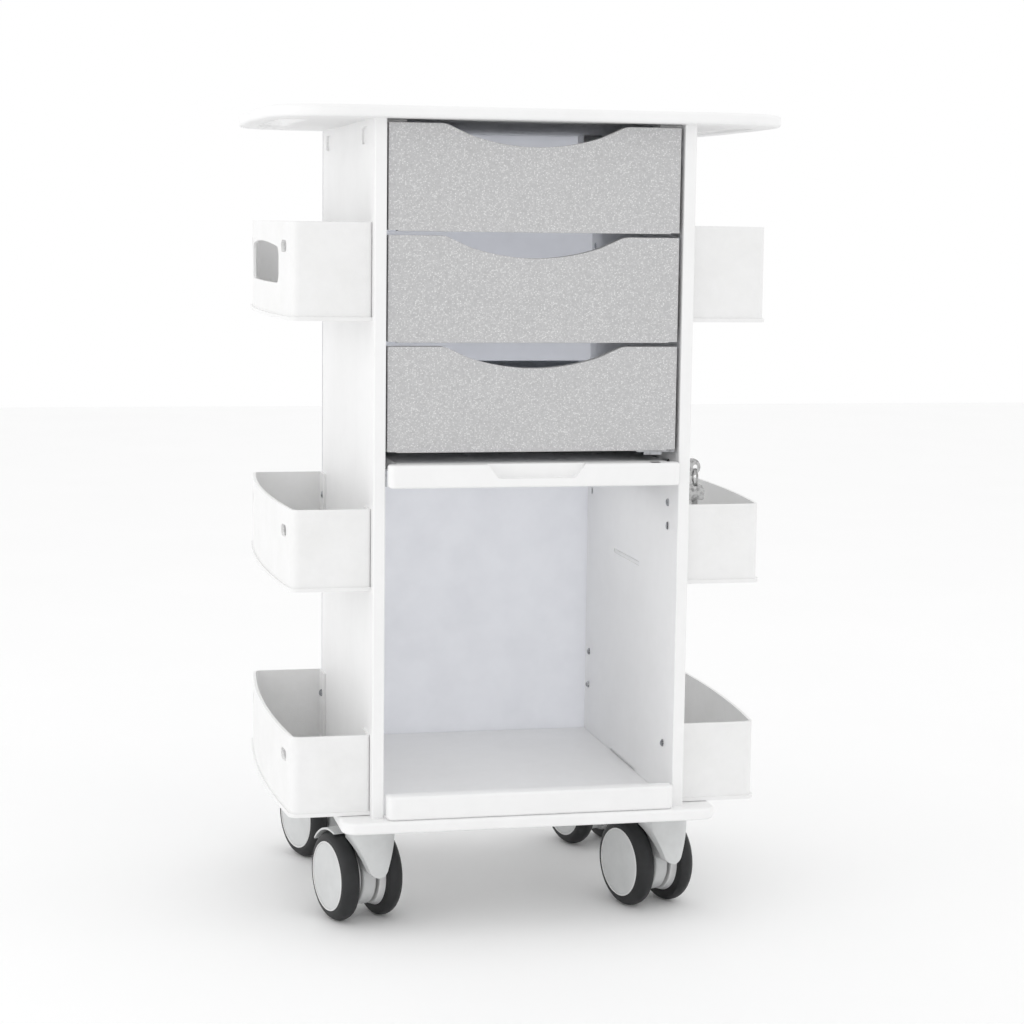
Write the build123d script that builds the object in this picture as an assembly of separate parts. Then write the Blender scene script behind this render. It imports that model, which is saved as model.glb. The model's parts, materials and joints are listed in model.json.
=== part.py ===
"""Rolling salon trolley: sheet-plastic cabinet, three drawers, pull-out shelf, six side bins, four casters.

Millimetres, +Z up, +X to the right, the drawers open towards -Y.
The origin is on the floor, under the centre of the overall box.
"""
from build123d import *
import math
import os

os.makedirs("parts", exist_ok=True)

# ------------------------------------------------------------------ overall and sheet
HEIGHT = 889.0            # floor to the top of the worktop
DEPTH = 418.8             # worktop and base, front to back
SHEET = 12.7              # sheet of the worktop, the side panels and the base
BACK_SHEET = 5.5          # back panel
CLEAR = 0.3               # gap between pieces that pass each other
HALF_DEPTH = DEPTH / 2

# ------------------------------------------------------------------ worktop
TOP_HALF_WIDTH = 287.0    # at the middle of each bowed end
TOP_END_BOW = 12.0        # bow of an end over the full depth
TOP_CORNER_R = 75.0
TOP_EDGE_R = 4.0
HANDLE_X = 249.0          # centre line of the handle slots
HANDLE_WIDTH = 26.0
HANDLE_LENGTH = 225.0
HANDLE_EDGE_R = 3.0

# ------------------------------------------------------------------ cabinet
PANEL_X = 173.7           # outer face of a side panel
PANEL_INNER_X = PANEL_X - SHEET
PANEL_FRONT_Y = -189.0
PANEL_BACK_Y = HALF_DEPTH - BACK_SHEET
PANEL_EDGE_R = 1.5
BASE_Z = 120.7            # underside of the base board, which is the build height of a caster
BASE_TOP_Z = BASE_Z + SHEET
BASE_HALF_WIDTH = 207.5
BASE_CORNER_R = 18.0
BASE_EDGE_R = 3.0
TOP_UNDER_Z = HEIGHT - SHEET
POCKET_LENGTH = 45.0      # capsule pockets near the top edge of the side panels
POCKET_HEIGHT = 18.0
POCKET_DEPTH = 8.0
POCKET_Z = 860.4
POCKET_Y = (-118.5, 155.0)
CAP_THICK = 5.5
CLEAT_X = 137.0           # blocks that tie the worktop to the side panels
CLEAT_LENGTH = 30.0
CLEAT_HEIGHT = 14.0
CLEAT_FRONT_Y = -172.0
CLEAT_BACK_Y = 160.0

# ------------------------------------------------------------------ drawers
DRAWER_COUNT = 3
FRONT_HALF_WIDTH = 158.0
FRONT_SHIFT_X = -0.9      # the fronts sit a little left of the middle of their opening
FRONT_HEIGHT = 112.4
FRONT_PITCH = 116.4
FRONT_TOP_Z = 872.6
FRONT_FACE_Y = -186.0
FRONT_THICK = 12.7
FRONT_EDGE_R = 0.8
SCOOP_HALF_TOP = 97.5     # where the finger scoop meets the top edge
SCOOP_HALF_ARC = 72.0     # where its slopes meet its arc
SCOOP_SLOPE = 11.5        # drop of a slope
SCOOP_DEPTH = 23.1
SCOOP_SHOULDER_R = 20.0
NOTCH_WIDTH = 10.0        # small relief at the lower corners of a front
NOTCH_HEIGHT = 1.0
BOX_HALF_WIDTH = 148.3
BOX_LENGTH = 349.0
BOX_HEIGHT = 72.0
BOX_LIFT = 4.0            # from the lower edge of a front to the underside of its box
BOX_WALL = 9.5
BOX_FLOOR = 6.0
BOX_INNER_R = 6.0

# ------------------------------------------------------------------ runners
RAIL_METAL = 1.5
RAIL_HEIGHT = 35.0
RAIL_REACH = 8.5          # how far the cabinet rail stands off the panel
RAIL_CLEAR = 0.6
RAIL_FRONT_Y = -170.0
RAIL_BACK_Y = 190.0
RAIL_LIFT = 40.0          # centre of a rail above the lower edge of its front

# ------------------------------------------------------------------ pull-out shelf and floor tray
SHELF_TOP_Z = 515.9
SHELF_BACK_Y = 176.0
LIP_FRONT_Y = -204.3
LIP_HALF_WIDTH = 158.9
LIP_HEIGHT = 24.7
LIP_THICK = 15.3
LIP_CORNER_R = 7.0
LIP_EDGE_R = 3.0
GRIP_HALF_TOP = 53.0      # finger recess in the shelf's lip
GRIP_HALF_BOTTOM = 42.0
GRIP_HEIGHT = 15.0
GRIP_DEPTH = 9.0
LATCH_HOLE_X = (127.5, 137.0)
LATCH_HOLE_Y = (-201.0, -191.0)
LATCH_HOLE_DEPTH = 3.0
SHELF_RAIL_Z = 489.2
SHELF_RAIL_HEIGHT = 14.4
SHELF_RAIL_FRONT_Y = -120.0
TRAY_FLOOR = 3.0
TRAY_LIP_TOP_Z = 159.6

# ------------------------------------------------------------------ side bins
BIN_FRONT_Y = -173.6
BIN_BACK_Y = 207.3
BIN_CORNER_X = 258.4
BIN_BOW = 10.7
BIN_CORNER_R = 11.0
BIN_BEND_R = 4.0          # outside bend between a bin's end walls and its mounting flanges
BIN_WALL = 3.0
BIN_FLOOR = 4.0
BIN_FLOOR_LEDGE = 2.0     # how far the floor plate stands proud of the walls
BIN_FLANGE = 36.0
BIN_HEIGHTS = {"top": 103.2, "middle": 87.4, "bottom": 87.4}
BIN_BASES = {"top": 665.8, "middle": 378.9, "bottom": 134.1}
TAB_Y = (-36.8, 74.6)
TAB_SLOT_HEIGHT = 5.0
TAB_SIDE_CLEAR = 0.5
VENT_LENGTH = 26.0        # capsule slots in the bowed wall
VENT_HEIGHT = 13.0
VENT_DROP = 26.0          # below the rim
VENT_INSET = 38.6         # from each end of the bin
GLOVE_Y = (-108.0, 139.0) # large opening in the outer wall of the top left bin
GLOVE_Z = (703.0, 741.5)
GLOVE_ARCH = 6.0          # rise of its upper edge
GLOVE_CORNER_R = 12.0

# ------------------------------------------------------------------ screws
SCREW_R = 2.1
SCREW_HEAD_R = 4.4
SCREW_HEAD = 2.0
SCREW_NUT = 3.0
SCREW_DROP = 25.7         # below the rim of a bin
SCREW_Y = (-150.7, 184.4)
SPARE_SCREWS = ((-150.7, 466.4), (184.4, 237.7))
SPARE_SCREW_DEPTH = 9.0
DRIVE_WIDTH = 1.0         # cross recess in a screw head
DRIVE_LENGTH = 5.0
DRIVE_DEPTH = 1.2

# ------------------------------------------------------------------ lock and keys
LOCK_Y = -148.0
LOCK_Z = 505.0
BARREL_R = 9.5
BARREL_HEAD_R = 11.5
BARREL_HEAD = 2.5
PLUG_R = 6.0
PLUG_CLEAR = 0.05
PLUG_PROUD = 0.8
KEYWAY_WIDTH = 2.2
KEYWAY_HEIGHT = 7.2
KEYWAY_DEPTH = 13.0
CAM_THICK = 2.0
CAM_LENGTH = 26.0
CAM_HALF_WIDTH = 6.5
CAM_SCREW_R = 2.0
CAM_SCREW_HEAD_R = 3.2
CAM_SCREW_HEAD = 1.3
CAM_SCREW_LENGTH = 2.6
KEY_THICK = 2.0
BLADE_THICK = 1.8
BLADE_HEIGHT = 6.6
BLADE_LENGTH = 22.0
BLADE_CUTS = 4
BLADE_CUT_DEPTH = 1.4
KEY_BOW_R = 9.8
KEY_BOW_X = 188.0
KEY_HOLE_R = 2.8
KEY_HOLE_X = 192.0
RING_R = 9.6
RING_WIRE_R = 0.8
RING_TOP_Z = LOCK_Z - KEY_HOLE_R + RING_WIRE_R + CLEAR
RING_Z = RING_TOP_Z - RING_R
SPARE_HALF_WIDTH = 10.5
SPARE_SHOULDER = 4.0
SPARE_HEIGHT = 19.0
SPARE_HOLE_R = 2.2
SPARE_HOLE_Z = RING_Z - RING_R - SPARE_HOLE_R + RING_WIRE_R + CLEAR
SPARE_HOLE_UP = 14.6      # hole above the straight lower edge of the bow
STRIKE_X = (115.0, PANEL_INNER_X - 3.0)     # plate under drawer 3, inside the cam's path
STRIKE_Y = (-181.0, -131.8)
STRIKE_METAL = 2.0
STRIKE_LIP_X = (123.5, 143.5)               # its front edge is turned down here
STRIKE_LIP = 5.0
CATCH_X = (118.0, PANEL_INNER_X - 0.5)      # bar under the drawer box that the raised cam holds
CATCH_Y = (-131.3, -119.3)

# ------------------------------------------------------------------ casters
WHEEL_R = 50.0
TRAIL = 34.0
SWIVEL_X = 167.0
SWIVEL_Y = 134.0
CASTERS = {               # side, end, swivel angle in degrees as the trolley stands
    "front_left": (-1, -1, 16.0),
    "front_right": (1, -1, 16.0),
    "rear_left": (-1, 1, 20.0),
    "rear_right": (1, 1, 17.0),
}
TYRE_INNER_X = 18.0
TYRE_OUTER_X = 36.0
TREAD_X = 25.2            # where the tread is highest
TREAD_CURVE_R = 11.5
HUB_R = 38.0
HUB_INNER_X = 11.5
HUB_INNER_R = 36.0
HUB_RIM_R = 38.6
HUB_RIM = 0.9
HUB_RIM_WIDTH = 1.6
AXLE_R = 4.0
AXLE_CLEAR = 0.05
AXLE_HALF = 34.2
HOOD_R = 27.0
HOOD_TOP_Z = 118.4
HOOD_SHOULDER_Z = 108.0
HOOD_TIP_Z = 38.0         # where the apron's straight sides would meet
HOOD_TIP_R = 11.5
HOOD_WHEEL_GAP_R = 51.2
HOOD_SPINE_X = 9.5        # half width of the hood between the wheels
CORE_R = 35.0             # disc between the wheels
CORE_HALF = 8.0
FENDER_R = 51.2
FENDER_THICK = 2.2
FENDER_HALF = 34.0
FENDER_FROM = -14.0       # degrees from straight up, towards the back
FENDER_TO = 50.0
STEM_R = 6.0
STEM_BOTTOM_Z = 89.0
STEM_CLEAR = 0.05
STEM_FLANGE_R = 22.0
STEM_FLANGE = 1.8
STEM_IN_BASE_R = 5.5
STEM_IN_BASE = 11.0


# ------------------------------------------------------------------ helpers
def block(x0, x1, y0, y1, z0, z1):
    """Box between two corners."""
    middle = Pos((x0 + x1) / 2, (y0 + y1) / 2, (z0 + z1) / 2)
    return middle * Box(abs(x1 - x0), abs(y1 - y0), abs(z1 - z0))


def rod_x(radius, x0, x1, y=0.0, z=0.0):
    """Round bar along X."""
    return Pos((x0 + x1) / 2, y, z) * Rot(0, 90, 0) * Cylinder(radius, abs(x1 - x0))


def rod_z(radius, z0, z1, x=0.0, y=0.0):
    """Round bar along Z."""
    return Pos(x, y, (z0 + z1) / 2) * Cylinder(radius, abs(z1 - z0))


def capsule_x(length, height, x0, x1, y, z):
    """Slot-shaped bar along X, long in Y."""
    face = Plane.YZ * SlotOverall(length, height)
    return Pos(min(x0, x1), y, z) * extrude(face, abs(x1 - x0))


def upright(face, y_back, thick):
    """Plate cut to an outline drawn in X and Z."""
    return Pos(0, y_back, 0) * extrude(Plane.XZ * face, thick)


def left_copy(shape):
    """The same piece on the other side."""
    return mirror(shape, about=Plane.YZ)


def on_side(shape, side):
    """Right-hand shape for side 1, its mirror for side -1."""
    return shape if side > 0 else left_copy(shape)


def front_bottom_z(index):
    """Lower edge of drawer front number index, counted from 1 at the top."""
    return FRONT_TOP_Z - FRONT_HEIGHT - (index - 1) * FRONT_PITCH


# ------------------------------------------------------------------ worktop, panels, base
def bowed_outline(half_width, bow, half_depth, corner_r):
    """Rectangle with bowed ends and round corners."""
    side = half_width - bow
    lines = Line((-side, -half_depth), (side, -half_depth))
    lines += ThreePointArc((side, -half_depth), (half_width, 0), (side, half_depth))
    lines += Line((side, half_depth), (-side, half_depth))
    lines += ThreePointArc((-side, half_depth), (-half_width, 0), (-side, -half_depth))
    face = make_face(lines)
    return fillet(face.vertices(), corner_r)


def worktop():
    outline = bowed_outline(TOP_HALF_WIDTH, TOP_END_BOW, HALF_DEPTH, TOP_CORNER_R)
    board = Pos(0, 0, TOP_UNDER_Z) * extrude(outline, SHEET)
    rims = board.edges().group_by(Axis.Z)
    board = fillet(rims[0] + rims[-1], TOP_EDGE_R)
    for side in (-1, 1):
        slot = Rot(0, 0, 90) * SlotOverall(HANDLE_LENGTH, HANDLE_WIDTH)
        cutter = Pos(side * HANDLE_X, 0, TOP_UNDER_Z - 1) * extrude(slot, SHEET + 2)
        board -= cutter
    slot_edges = [e for e in board.edges() if is_handle_edge(e)]
    return fillet(slot_edges, HANDLE_EDGE_R)


def is_handle_edge(edge):
    """True for the top and bottom edges of a handle slot."""
    box = edge.bounding_box()
    flat = box.max.Z - box.min.Z < 0.01
    in_slot = abs(abs(edge.center().X) - HANDLE_X) < HANDLE_WIDTH / 2 + 0.1
    short = abs(edge.center().Y) < HANDLE_LENGTH / 2 + 0.1
    on_face = min(abs(box.min.Z - HEIGHT), abs(box.min.Z - TOP_UNDER_Z)) < 0.01
    return flat and in_slot and short and on_face


def screw_places():
    """(y, z) of each bin screw in a side panel."""
    places = []
    for level, base in BIN_BASES.items():
        rim = base + BIN_HEIGHTS[level]
        places += [(y, rim - SCREW_DROP) for y in SCREW_Y]
    return places


def side_panel(side):
    panel = block(PANEL_INNER_X, PANEL_X, PANEL_FRONT_Y, PANEL_BACK_Y, BASE_TOP_Z, TOP_UNDER_Z)
    front_edges = panel.edges().filter_by(Axis.Z).group_by(Axis.Y)[0]
    panel = fillet(front_edges, PANEL_EDGE_R)
    for y in POCKET_Y:
        panel -= capsule_x(POCKET_LENGTH, POCKET_HEIGHT, PANEL_X - POCKET_DEPTH, PANEL_X, y, POCKET_Z)
    for base in BIN_BASES.values():
        panel -= block(PANEL_INNER_X, PANEL_X, *TAB_Y, base, base + TAB_SLOT_HEIGHT)
    for y, z in screw_places():
        panel -= rod_x(SCREW_R, PANEL_INNER_X, PANEL_X, y, z)
    for y, z in SPARE_SCREWS:
        panel -= rod_x(SCREW_R, PANEL_INNER_X, PANEL_INNER_X + SPARE_SCREW_DEPTH, y, z)
    if side > 0:
        panel -= rod_x(BARREL_R, PANEL_INNER_X, PANEL_X, LOCK_Y, LOCK_Z)
    return on_side(panel, side)


def pocket_caps():
    caps = []
    for side in (-1, 1):
        for y in POCKET_Y:
            inner = PANEL_X - POCKET_DEPTH
            cap = capsule_x(POCKET_LENGTH, POCKET_HEIGHT, inner, inner + CAP_THICK, y, POCKET_Z)
            caps.append(on_side(cap, side))
    return caps


def back_panel():
    return block(-PANEL_X, PANEL_X, PANEL_BACK_Y, HALF_DEPTH, BASE_TOP_Z, TOP_UNDER_Z)


def base_board():
    face = RectangleRounded(2 * BASE_HALF_WIDTH, DEPTH, BASE_CORNER_R)
    board = Pos(0, 0, BASE_Z) * extrude(face, SHEET)
    rims = board.edges().group_by(Axis.Z)
    board = fillet(rims[0] + rims[-1], BASE_EDGE_R)
    for side, end, _ in CASTERS.values():
        board -= rod_z(STEM_IN_BASE_R, BASE_Z, BASE_Z + STEM_IN_BASE, side * SWIVEL_X, end * SWIVEL_Y)
    return board


def worktop_cleats():
    cleats = []
    for side in (-1, 1):
        for y in (CLEAT_FRONT_Y, CLEAT_BACK_Y):
            cleat = block(CLEAT_X, PANEL_INNER_X, y, y + CLEAT_LENGTH, TOP_UNDER_Z - CLEAT_HEIGHT, TOP_UNDER_Z)
            cleats.append(on_side(cleat, side))
    return cleats


def lip(z0, z1):
    """Front lip that stands proud of the side panels."""
    bar = block(-LIP_HALF_WIDTH, LIP_HALF_WIDTH, LIP_FRONT_Y, LIP_FRONT_Y + LIP_THICK, z0, z1)
    bar = fillet(bar.edges().filter_by(Axis.Z).group_by(Axis.Y)[0], LIP_CORNER_R)
    front_rims = [e for e in bar.edges() if e.center().Y < LIP_FRONT_Y + LIP_CORNER_R and is_level(e)]
    return fillet(front_rims, LIP_EDGE_R)


def is_level(edge):
    """True for an edge that lies at one height."""
    box = edge.bounding_box()
    return box.max.Z - box.min.Z < 0.01


def floor_tray():
    half = PANEL_INNER_X - CLEAR
    floor = block(-half, half, PANEL_FRONT_Y, PANEL_BACK_Y - CLEAR, BASE_TOP_Z, BASE_TOP_Z + TRAY_FLOOR)
    return floor + lip(BASE_TOP_Z, TRAY_LIP_TOP_Z)


# ------------------------------------------------------------------ bins
def bin_outline(grow, panel_gap, outer_r, bend_r):
    """Plan of a right-hand bin: straight ends, bowed outer side, round corners."""
    x0 = PANEL_X + panel_gap
    x1 = BIN_CORNER_X + grow
    y0 = BIN_FRONT_Y - grow
    y1 = BIN_BACK_Y + grow
    middle = (y0 + y1) / 2
    lines = Line((x0, y0), (x1, y0))
    lines += ThreePointArc((x1, y0), (x1 + BIN_BOW, middle), (x1, y1))
    lines += Line((x1, y1), (x0, y1))
    lines += Line((x0, y1), (x0, y0))
    face = make_face(lines)
    corners = face.vertices().group_by(Axis.X)
    face = fillet(corners[-1], outer_r)
    if bend_r > 0:
        face = fillet(face.vertices().group_by(Axis.X)[0], bend_r)
    return face


def right_bin(base, height):
    """Open-topped bin: two flanges lie on the panel and a floor tab goes into its slot."""
    wall_z = base + BIN_FLOOR
    outer = Pos(0, 0, wall_z) * extrude(bin_outline(0, 0, BIN_CORNER_R, BIN_BEND_R), height - BIN_FLOOR)
    inner_face = bin_outline(-BIN_WALL, BIN_WALL, BIN_CORNER_R - BIN_WALL, BIN_BEND_R - BIN_WALL)
    body = outer - Pos(0, 0, wall_z) * extrude(inner_face, height)
    flange_end = BIN_FRONT_Y + BIN_FLANGE
    flange_start = BIN_BACK_Y - BIN_FLANGE
    body -= block(PANEL_X, PANEL_X + BIN_WALL, flange_end, flange_start, wall_z, base + height)
    floor_face = bin_outline(BIN_FLOOR_LEDGE, 0, BIN_CORNER_R, 0)
    body += Pos(0, 0, base) * extrude(floor_face, BIN_FLOOR)
    tab_y0 = TAB_Y[0] + TAB_SIDE_CLEAR
    tab_y1 = TAB_Y[1] - TAB_SIDE_CLEAR
    body += block(PANEL_INNER_X + 1, PANEL_X + 1, tab_y0, tab_y1, base, base + BIN_FLOOR)
    for y in (BIN_FRONT_Y + VENT_INSET, BIN_BACK_Y - VENT_INSET):
        z = base + height - VENT_DROP
        body -= capsule_x(VENT_LENGTH, VENT_HEIGHT, BIN_CORNER_X - BIN_CORNER_R, BIN_CORNER_X + BIN_CORNER_R, y, z)
    screw_z = base + height - SCREW_DROP
    for y in SCREW_Y:
        body -= rod_x(SCREW_R, PANEL_X, PANEL_X + BIN_WALL, y, screw_z)
    return body


def glove_opening():
    """Large opening through the outer wall of the top left bin."""
    y0, y1 = GLOVE_Y
    z0, z1 = GLOVE_Z
    lines = Line((y0, z0), (y1, z0))
    lines += Line((y1, z0), (y1, z1))
    lines += ThreePointArc((y1, z1), ((y0 + y1) / 2, z1 + GLOVE_ARCH), (y0, z1))
    lines += Line((y0, z1), (y0, z0))
    face = make_face(lines)
    face = Plane.YZ * fillet(face.vertices(), GLOVE_CORNER_R)
    reach = 2 * BIN_CORNER_R
    return Pos(-BIN_CORNER_X - reach / 2 - 1, 0, 0) * extrude(face, reach)


def side_bin(side, level):
    tub = on_side(right_bin(BIN_BASES[level], BIN_HEIGHTS[level]), side)
    if side < 0 and level == "top":
        tub -= glove_opening()
    return tub


# ------------------------------------------------------------------ screws
def screw(tip_x):
    """Pan-head screw along +X, its head's underside on the inner face of the right panel."""
    body = rod_x(SCREW_HEAD_R, PANEL_INNER_X - SCREW_HEAD, PANEL_INNER_X)
    body = fillet(body.edges().group_by(Axis.X)[0], SCREW_HEAD * 0.6)
    head_x = PANEL_INNER_X - SCREW_HEAD
    body -= block(head_x, head_x + DRIVE_DEPTH, -DRIVE_WIDTH / 2, DRIVE_WIDTH / 2, -DRIVE_LENGTH / 2, DRIVE_LENGTH / 2)
    body -= block(head_x, head_x + DRIVE_DEPTH, -DRIVE_LENGTH / 2, DRIVE_LENGTH / 2, -DRIVE_WIDTH / 2, DRIVE_WIDTH / 2)
    return body + rod_x(SCREW_R, PANEL_INNER_X, tip_x)


def panel_screws():
    nut_x = PANEL_X + BIN_WALL
    long_screw = screw(nut_x + SCREW_NUT)
    long_screw += rod_x(SCREW_HEAD_R, nut_x, nut_x + SCREW_NUT)
    short_screw = screw(PANEL_INNER_X + SPARE_SCREW_DEPTH)
    screws = []
    for side in (-1, 1):
        screws += [on_side(Pos(0, y, z) * long_screw, side) for y, z in screw_places()]
        screws += [on_side(Pos(0, y, z) * short_screw, side) for y, z in SPARE_SCREWS]
    return screws


# ------------------------------------------------------------------ drawers and runners
def scooped_outline(z0, z1):
    """Drawer front with a finger scoop in its top edge, drawn in X and Z."""
    slope_z = z1 - SCOOP_SLOPE
    lines = Line((-FRONT_HALF_WIDTH, z0), (FRONT_HALF_WIDTH, z0))
    lines += Line((FRONT_HALF_WIDTH, z0), (FRONT_HALF_WIDTH, z1))
    lines += Line((FRONT_HALF_WIDTH, z1), (SCOOP_HALF_TOP, z1))
    lines += Line((SCOOP_HALF_TOP, z1), (SCOOP_HALF_ARC, slope_z))
    lines += ThreePointArc((SCOOP_HALF_ARC, slope_z), (0, z1 - SCOOP_DEPTH), (-SCOOP_HALF_ARC, slope_z))
    lines += Line((-SCOOP_HALF_ARC, slope_z), (-SCOOP_HALF_TOP, z1))
    lines += Line((-SCOOP_HALF_TOP, z1), (-FRONT_HALF_WIDTH, z1))
    lines += Line((-FRONT_HALF_WIDTH, z1), (-FRONT_HALF_WIDTH, z0))
    face = make_face(lines)
    shoulders = [v for v in face.vertices() if abs(abs(v.X) - SCOOP_HALF_TOP) < 0.1]
    return Pos(FRONT_SHIFT_X, 0) * fillet(shoulders, SCOOP_SHOULDER_R)


def drawer_front(index):
    z0 = front_bottom_z(index)
    plate = upright(scooped_outline(z0, z0 + FRONT_HEIGHT), FRONT_FACE_Y + FRONT_THICK, FRONT_THICK)
    plate = fillet(plate.faces().sort_by(Axis.Y)[0].edges(), FRONT_EDGE_R)
    for side in (-1, 1):
        corner_x = side * FRONT_HALF_WIDTH + FRONT_SHIFT_X
        inner_x = corner_x - side * NOTCH_WIDTH
        plate -= block(inner_x, corner_x, FRONT_FACE_Y, FRONT_FACE_Y + FRONT_THICK, z0, z0 + NOTCH_HEIGHT)
    return plate


def drawer_box(index):
    y0 = FRONT_FACE_Y + FRONT_THICK
    z0 = front_bottom_z(index) + BOX_LIFT
    outer = block(-BOX_HALF_WIDTH, BOX_HALF_WIDTH, y0, y0 + BOX_LENGTH, z0, z0 + BOX_HEIGHT)
    width = 2 * (BOX_HALF_WIDTH - BOX_WALL)
    length = BOX_LENGTH - 2 * BOX_WALL
    plan = RectangleRounded(width, length, BOX_INNER_R)
    return outer - Pos(0, y0 + BOX_LENGTH / 2, z0 + BOX_FLOOR) * extrude(plan, BOX_HEIGHT)


def cabinet_rail(z, height, y0, y1):
    """Channel on the right panel, open towards the drawer."""
    x0 = PANEL_INNER_X - RAIL_REACH
    rail = block(x0, PANEL_INNER_X, y0, y1, z - height / 2, z + height / 2)
    inside = height / 2 - RAIL_METAL
    return rail - block(x0, PANEL_INNER_X - RAIL_METAL, y0, y1, z - inside, z + inside)


def moving_rail(z, height, y0, y1):
    """Channel on the drawer's right side, which runs inside the cabinet rail."""
    x1 = PANEL_INNER_X - RAIL_METAL - 2 * RAIL_CLEAR
    half = height / 2 - RAIL_METAL - RAIL_CLEAR
    rail = block(BOX_HALF_WIDTH, x1, y0, y1, z - half, z + half)
    inside = half - RAIL_METAL
    return rail - block(BOX_HALF_WIDTH + RAIL_METAL, x1, y0, y1, z - inside, z + inside)


def rail_z(index):
    return front_bottom_z(index) + RAIL_LIFT


def cabinet_rails():
    rails = []
    for side in (-1, 1):
        for index in range(1, DRAWER_COUNT + 1):
            rail = cabinet_rail(rail_z(index), RAIL_HEIGHT, RAIL_FRONT_Y, RAIL_BACK_Y)
            rails.append(on_side(rail, side))
        rail = cabinet_rail(SHELF_RAIL_Z, SHELF_RAIL_HEIGHT, SHELF_RAIL_FRONT_Y, RAIL_BACK_Y)
        rails.append(on_side(rail, side))
    return rails


def drawer_rails(index):
    y0 = FRONT_FACE_Y + FRONT_THICK + 1
    y1 = FRONT_FACE_Y + FRONT_THICK + BOX_LENGTH
    rail = moving_rail(rail_z(index), RAIL_HEIGHT, y0, y1)
    return [on_side(rail, side) for side in (-1, 1)]


def shelf_rails():
    """Angle under the shelf board that carries the moving channel."""
    rail = moving_rail(SHELF_RAIL_Z, SHELF_RAIL_HEIGHT, SHELF_RAIL_FRONT_Y, SHELF_BACK_Y)
    board_z = SHELF_TOP_Z - SHEET
    web_x = BOX_HALF_WIDTH + RAIL_METAL
    rail += block(BOX_HALF_WIDTH, web_x, SHELF_RAIL_FRONT_Y, SHELF_BACK_Y, SHELF_RAIL_Z, board_z)
    foot_x = BOX_HALF_WIDTH - SHELF_RAIL_HEIGHT
    rail += block(foot_x, web_x, SHELF_RAIL_FRONT_Y, SHELF_BACK_Y, board_z - RAIL_METAL, board_z)
    return [on_side(rail, side) for side in (-1, 1)]


def pull_out_shelf():
    board_z = SHELF_TOP_Z - SHEET
    back_of_lip = LIP_FRONT_Y + LIP_THICK
    board = block(-BOX_HALF_WIDTH, BOX_HALF_WIDTH, back_of_lip, SHELF_BACK_Y, board_z, SHELF_TOP_Z)
    shelf = board + lip(SHELF_TOP_Z - LIP_HEIGHT, SHELF_TOP_Z)
    grip = Polyline(
        (-GRIP_HALF_TOP, SHELF_TOP_Z),
        (GRIP_HALF_TOP, SHELF_TOP_Z),
        (GRIP_HALF_BOTTOM, SHELF_TOP_Z - GRIP_HEIGHT),
        (-GRIP_HALF_BOTTOM, SHELF_TOP_Z - GRIP_HEIGHT),
        close=True,
    )
    grip_face = make_face(grip)
    low_corners = grip_face.vertices().group_by(Axis.Y)[0]
    grip_face = fillet(low_corners, GRIP_DEPTH / 2)
    shelf -= upright(grip_face, LIP_FRONT_Y + GRIP_DEPTH, GRIP_DEPTH)
    return shelf - block(*LATCH_HOLE_X, *LATCH_HOLE_Y, SHELF_TOP_Z - LATCH_HOLE_DEPTH, SHELF_TOP_Z)


def lock_strike():
    """Plate and catch bar under drawer 3: the raised cam stands in front of the bar's outer end."""
    top = front_bottom_z(DRAWER_COUNT)
    plate = block(*STRIKE_X, *STRIKE_Y, top - STRIKE_METAL, top)
    lip_back_y = STRIKE_Y[0] + STRIKE_METAL
    plate += block(*STRIKE_LIP_X, STRIKE_Y[0], lip_back_y, top - STRIKE_LIP, top)
    catch = block(*CATCH_X, *CATCH_Y, top - STRIKE_METAL, top + BOX_LIFT)
    return [plate, catch]


# ------------------------------------------------------------------ lock and keys
def lock_barrel():
    body = rod_x(BARREL_R, PANEL_INNER_X, PANEL_X, LOCK_Y, LOCK_Z)
    head = rod_x(BARREL_HEAD_R, PANEL_X, PANEL_X + BARREL_HEAD, LOCK_Y, LOCK_Z)
    head = fillet(head.edges().group_by(Axis.X)[-1], BARREL_HEAD / 3)
    end_x = PANEL_X + BARREL_HEAD
    return body + head - rod_x(PLUG_R + PLUG_CLEAR, PANEL_INNER_X, end_x, LOCK_Y, LOCK_Z)


def lock_plug():
    outer_x = PANEL_X + BARREL_HEAD + PLUG_PROUD
    plug = rod_x(PLUG_R, PANEL_INNER_X, outer_x, LOCK_Y, LOCK_Z)
    half_w = KEYWAY_WIDTH / 2
    half_h = KEYWAY_HEIGHT / 2
    keyway = block(
        outer_x - KEYWAY_DEPTH, outer_x, LOCK_Y - half_w, LOCK_Y + half_w, LOCK_Z - half_h, LOCK_Z + half_h
    )
    plug -= keyway
    return plug - rod_x(CAM_SCREW_R, PANEL_INNER_X, PANEL_INNER_X + CAM_SCREW_LENGTH, LOCK_Y, LOCK_Z)


def lock_cam():
    """Flat lever that points back when unlocked and up when locked."""
    outline = SlotCenterToCenter(CAM_LENGTH - CAM_HALF_WIDTH, 2 * CAM_HALF_WIDTH)
    middle_y = LOCK_Y + (CAM_LENGTH - CAM_HALF_WIDTH) / 2
    cam = Pos(PANEL_INNER_X - CAM_THICK - CLEAR, middle_y, LOCK_Z) * extrude(Plane.YZ * outline, CAM_THICK)
    end_x = PANEL_INNER_X - CLEAR
    return cam - rod_x(CAM_SCREW_R, end_x - CAM_THICK, end_x, LOCK_Y, LOCK_Z)


def cam_screw():
    cam_x = PANEL_INNER_X - CLEAR - CAM_THICK
    head = rod_x(CAM_SCREW_HEAD_R, cam_x - CAM_SCREW_HEAD, cam_x, LOCK_Y, LOCK_Z)
    return head + rod_x(CAM_SCREW_R, cam_x, PANEL_INNER_X + CAM_SCREW_LENGTH, LOCK_Y, LOCK_Z)


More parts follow.
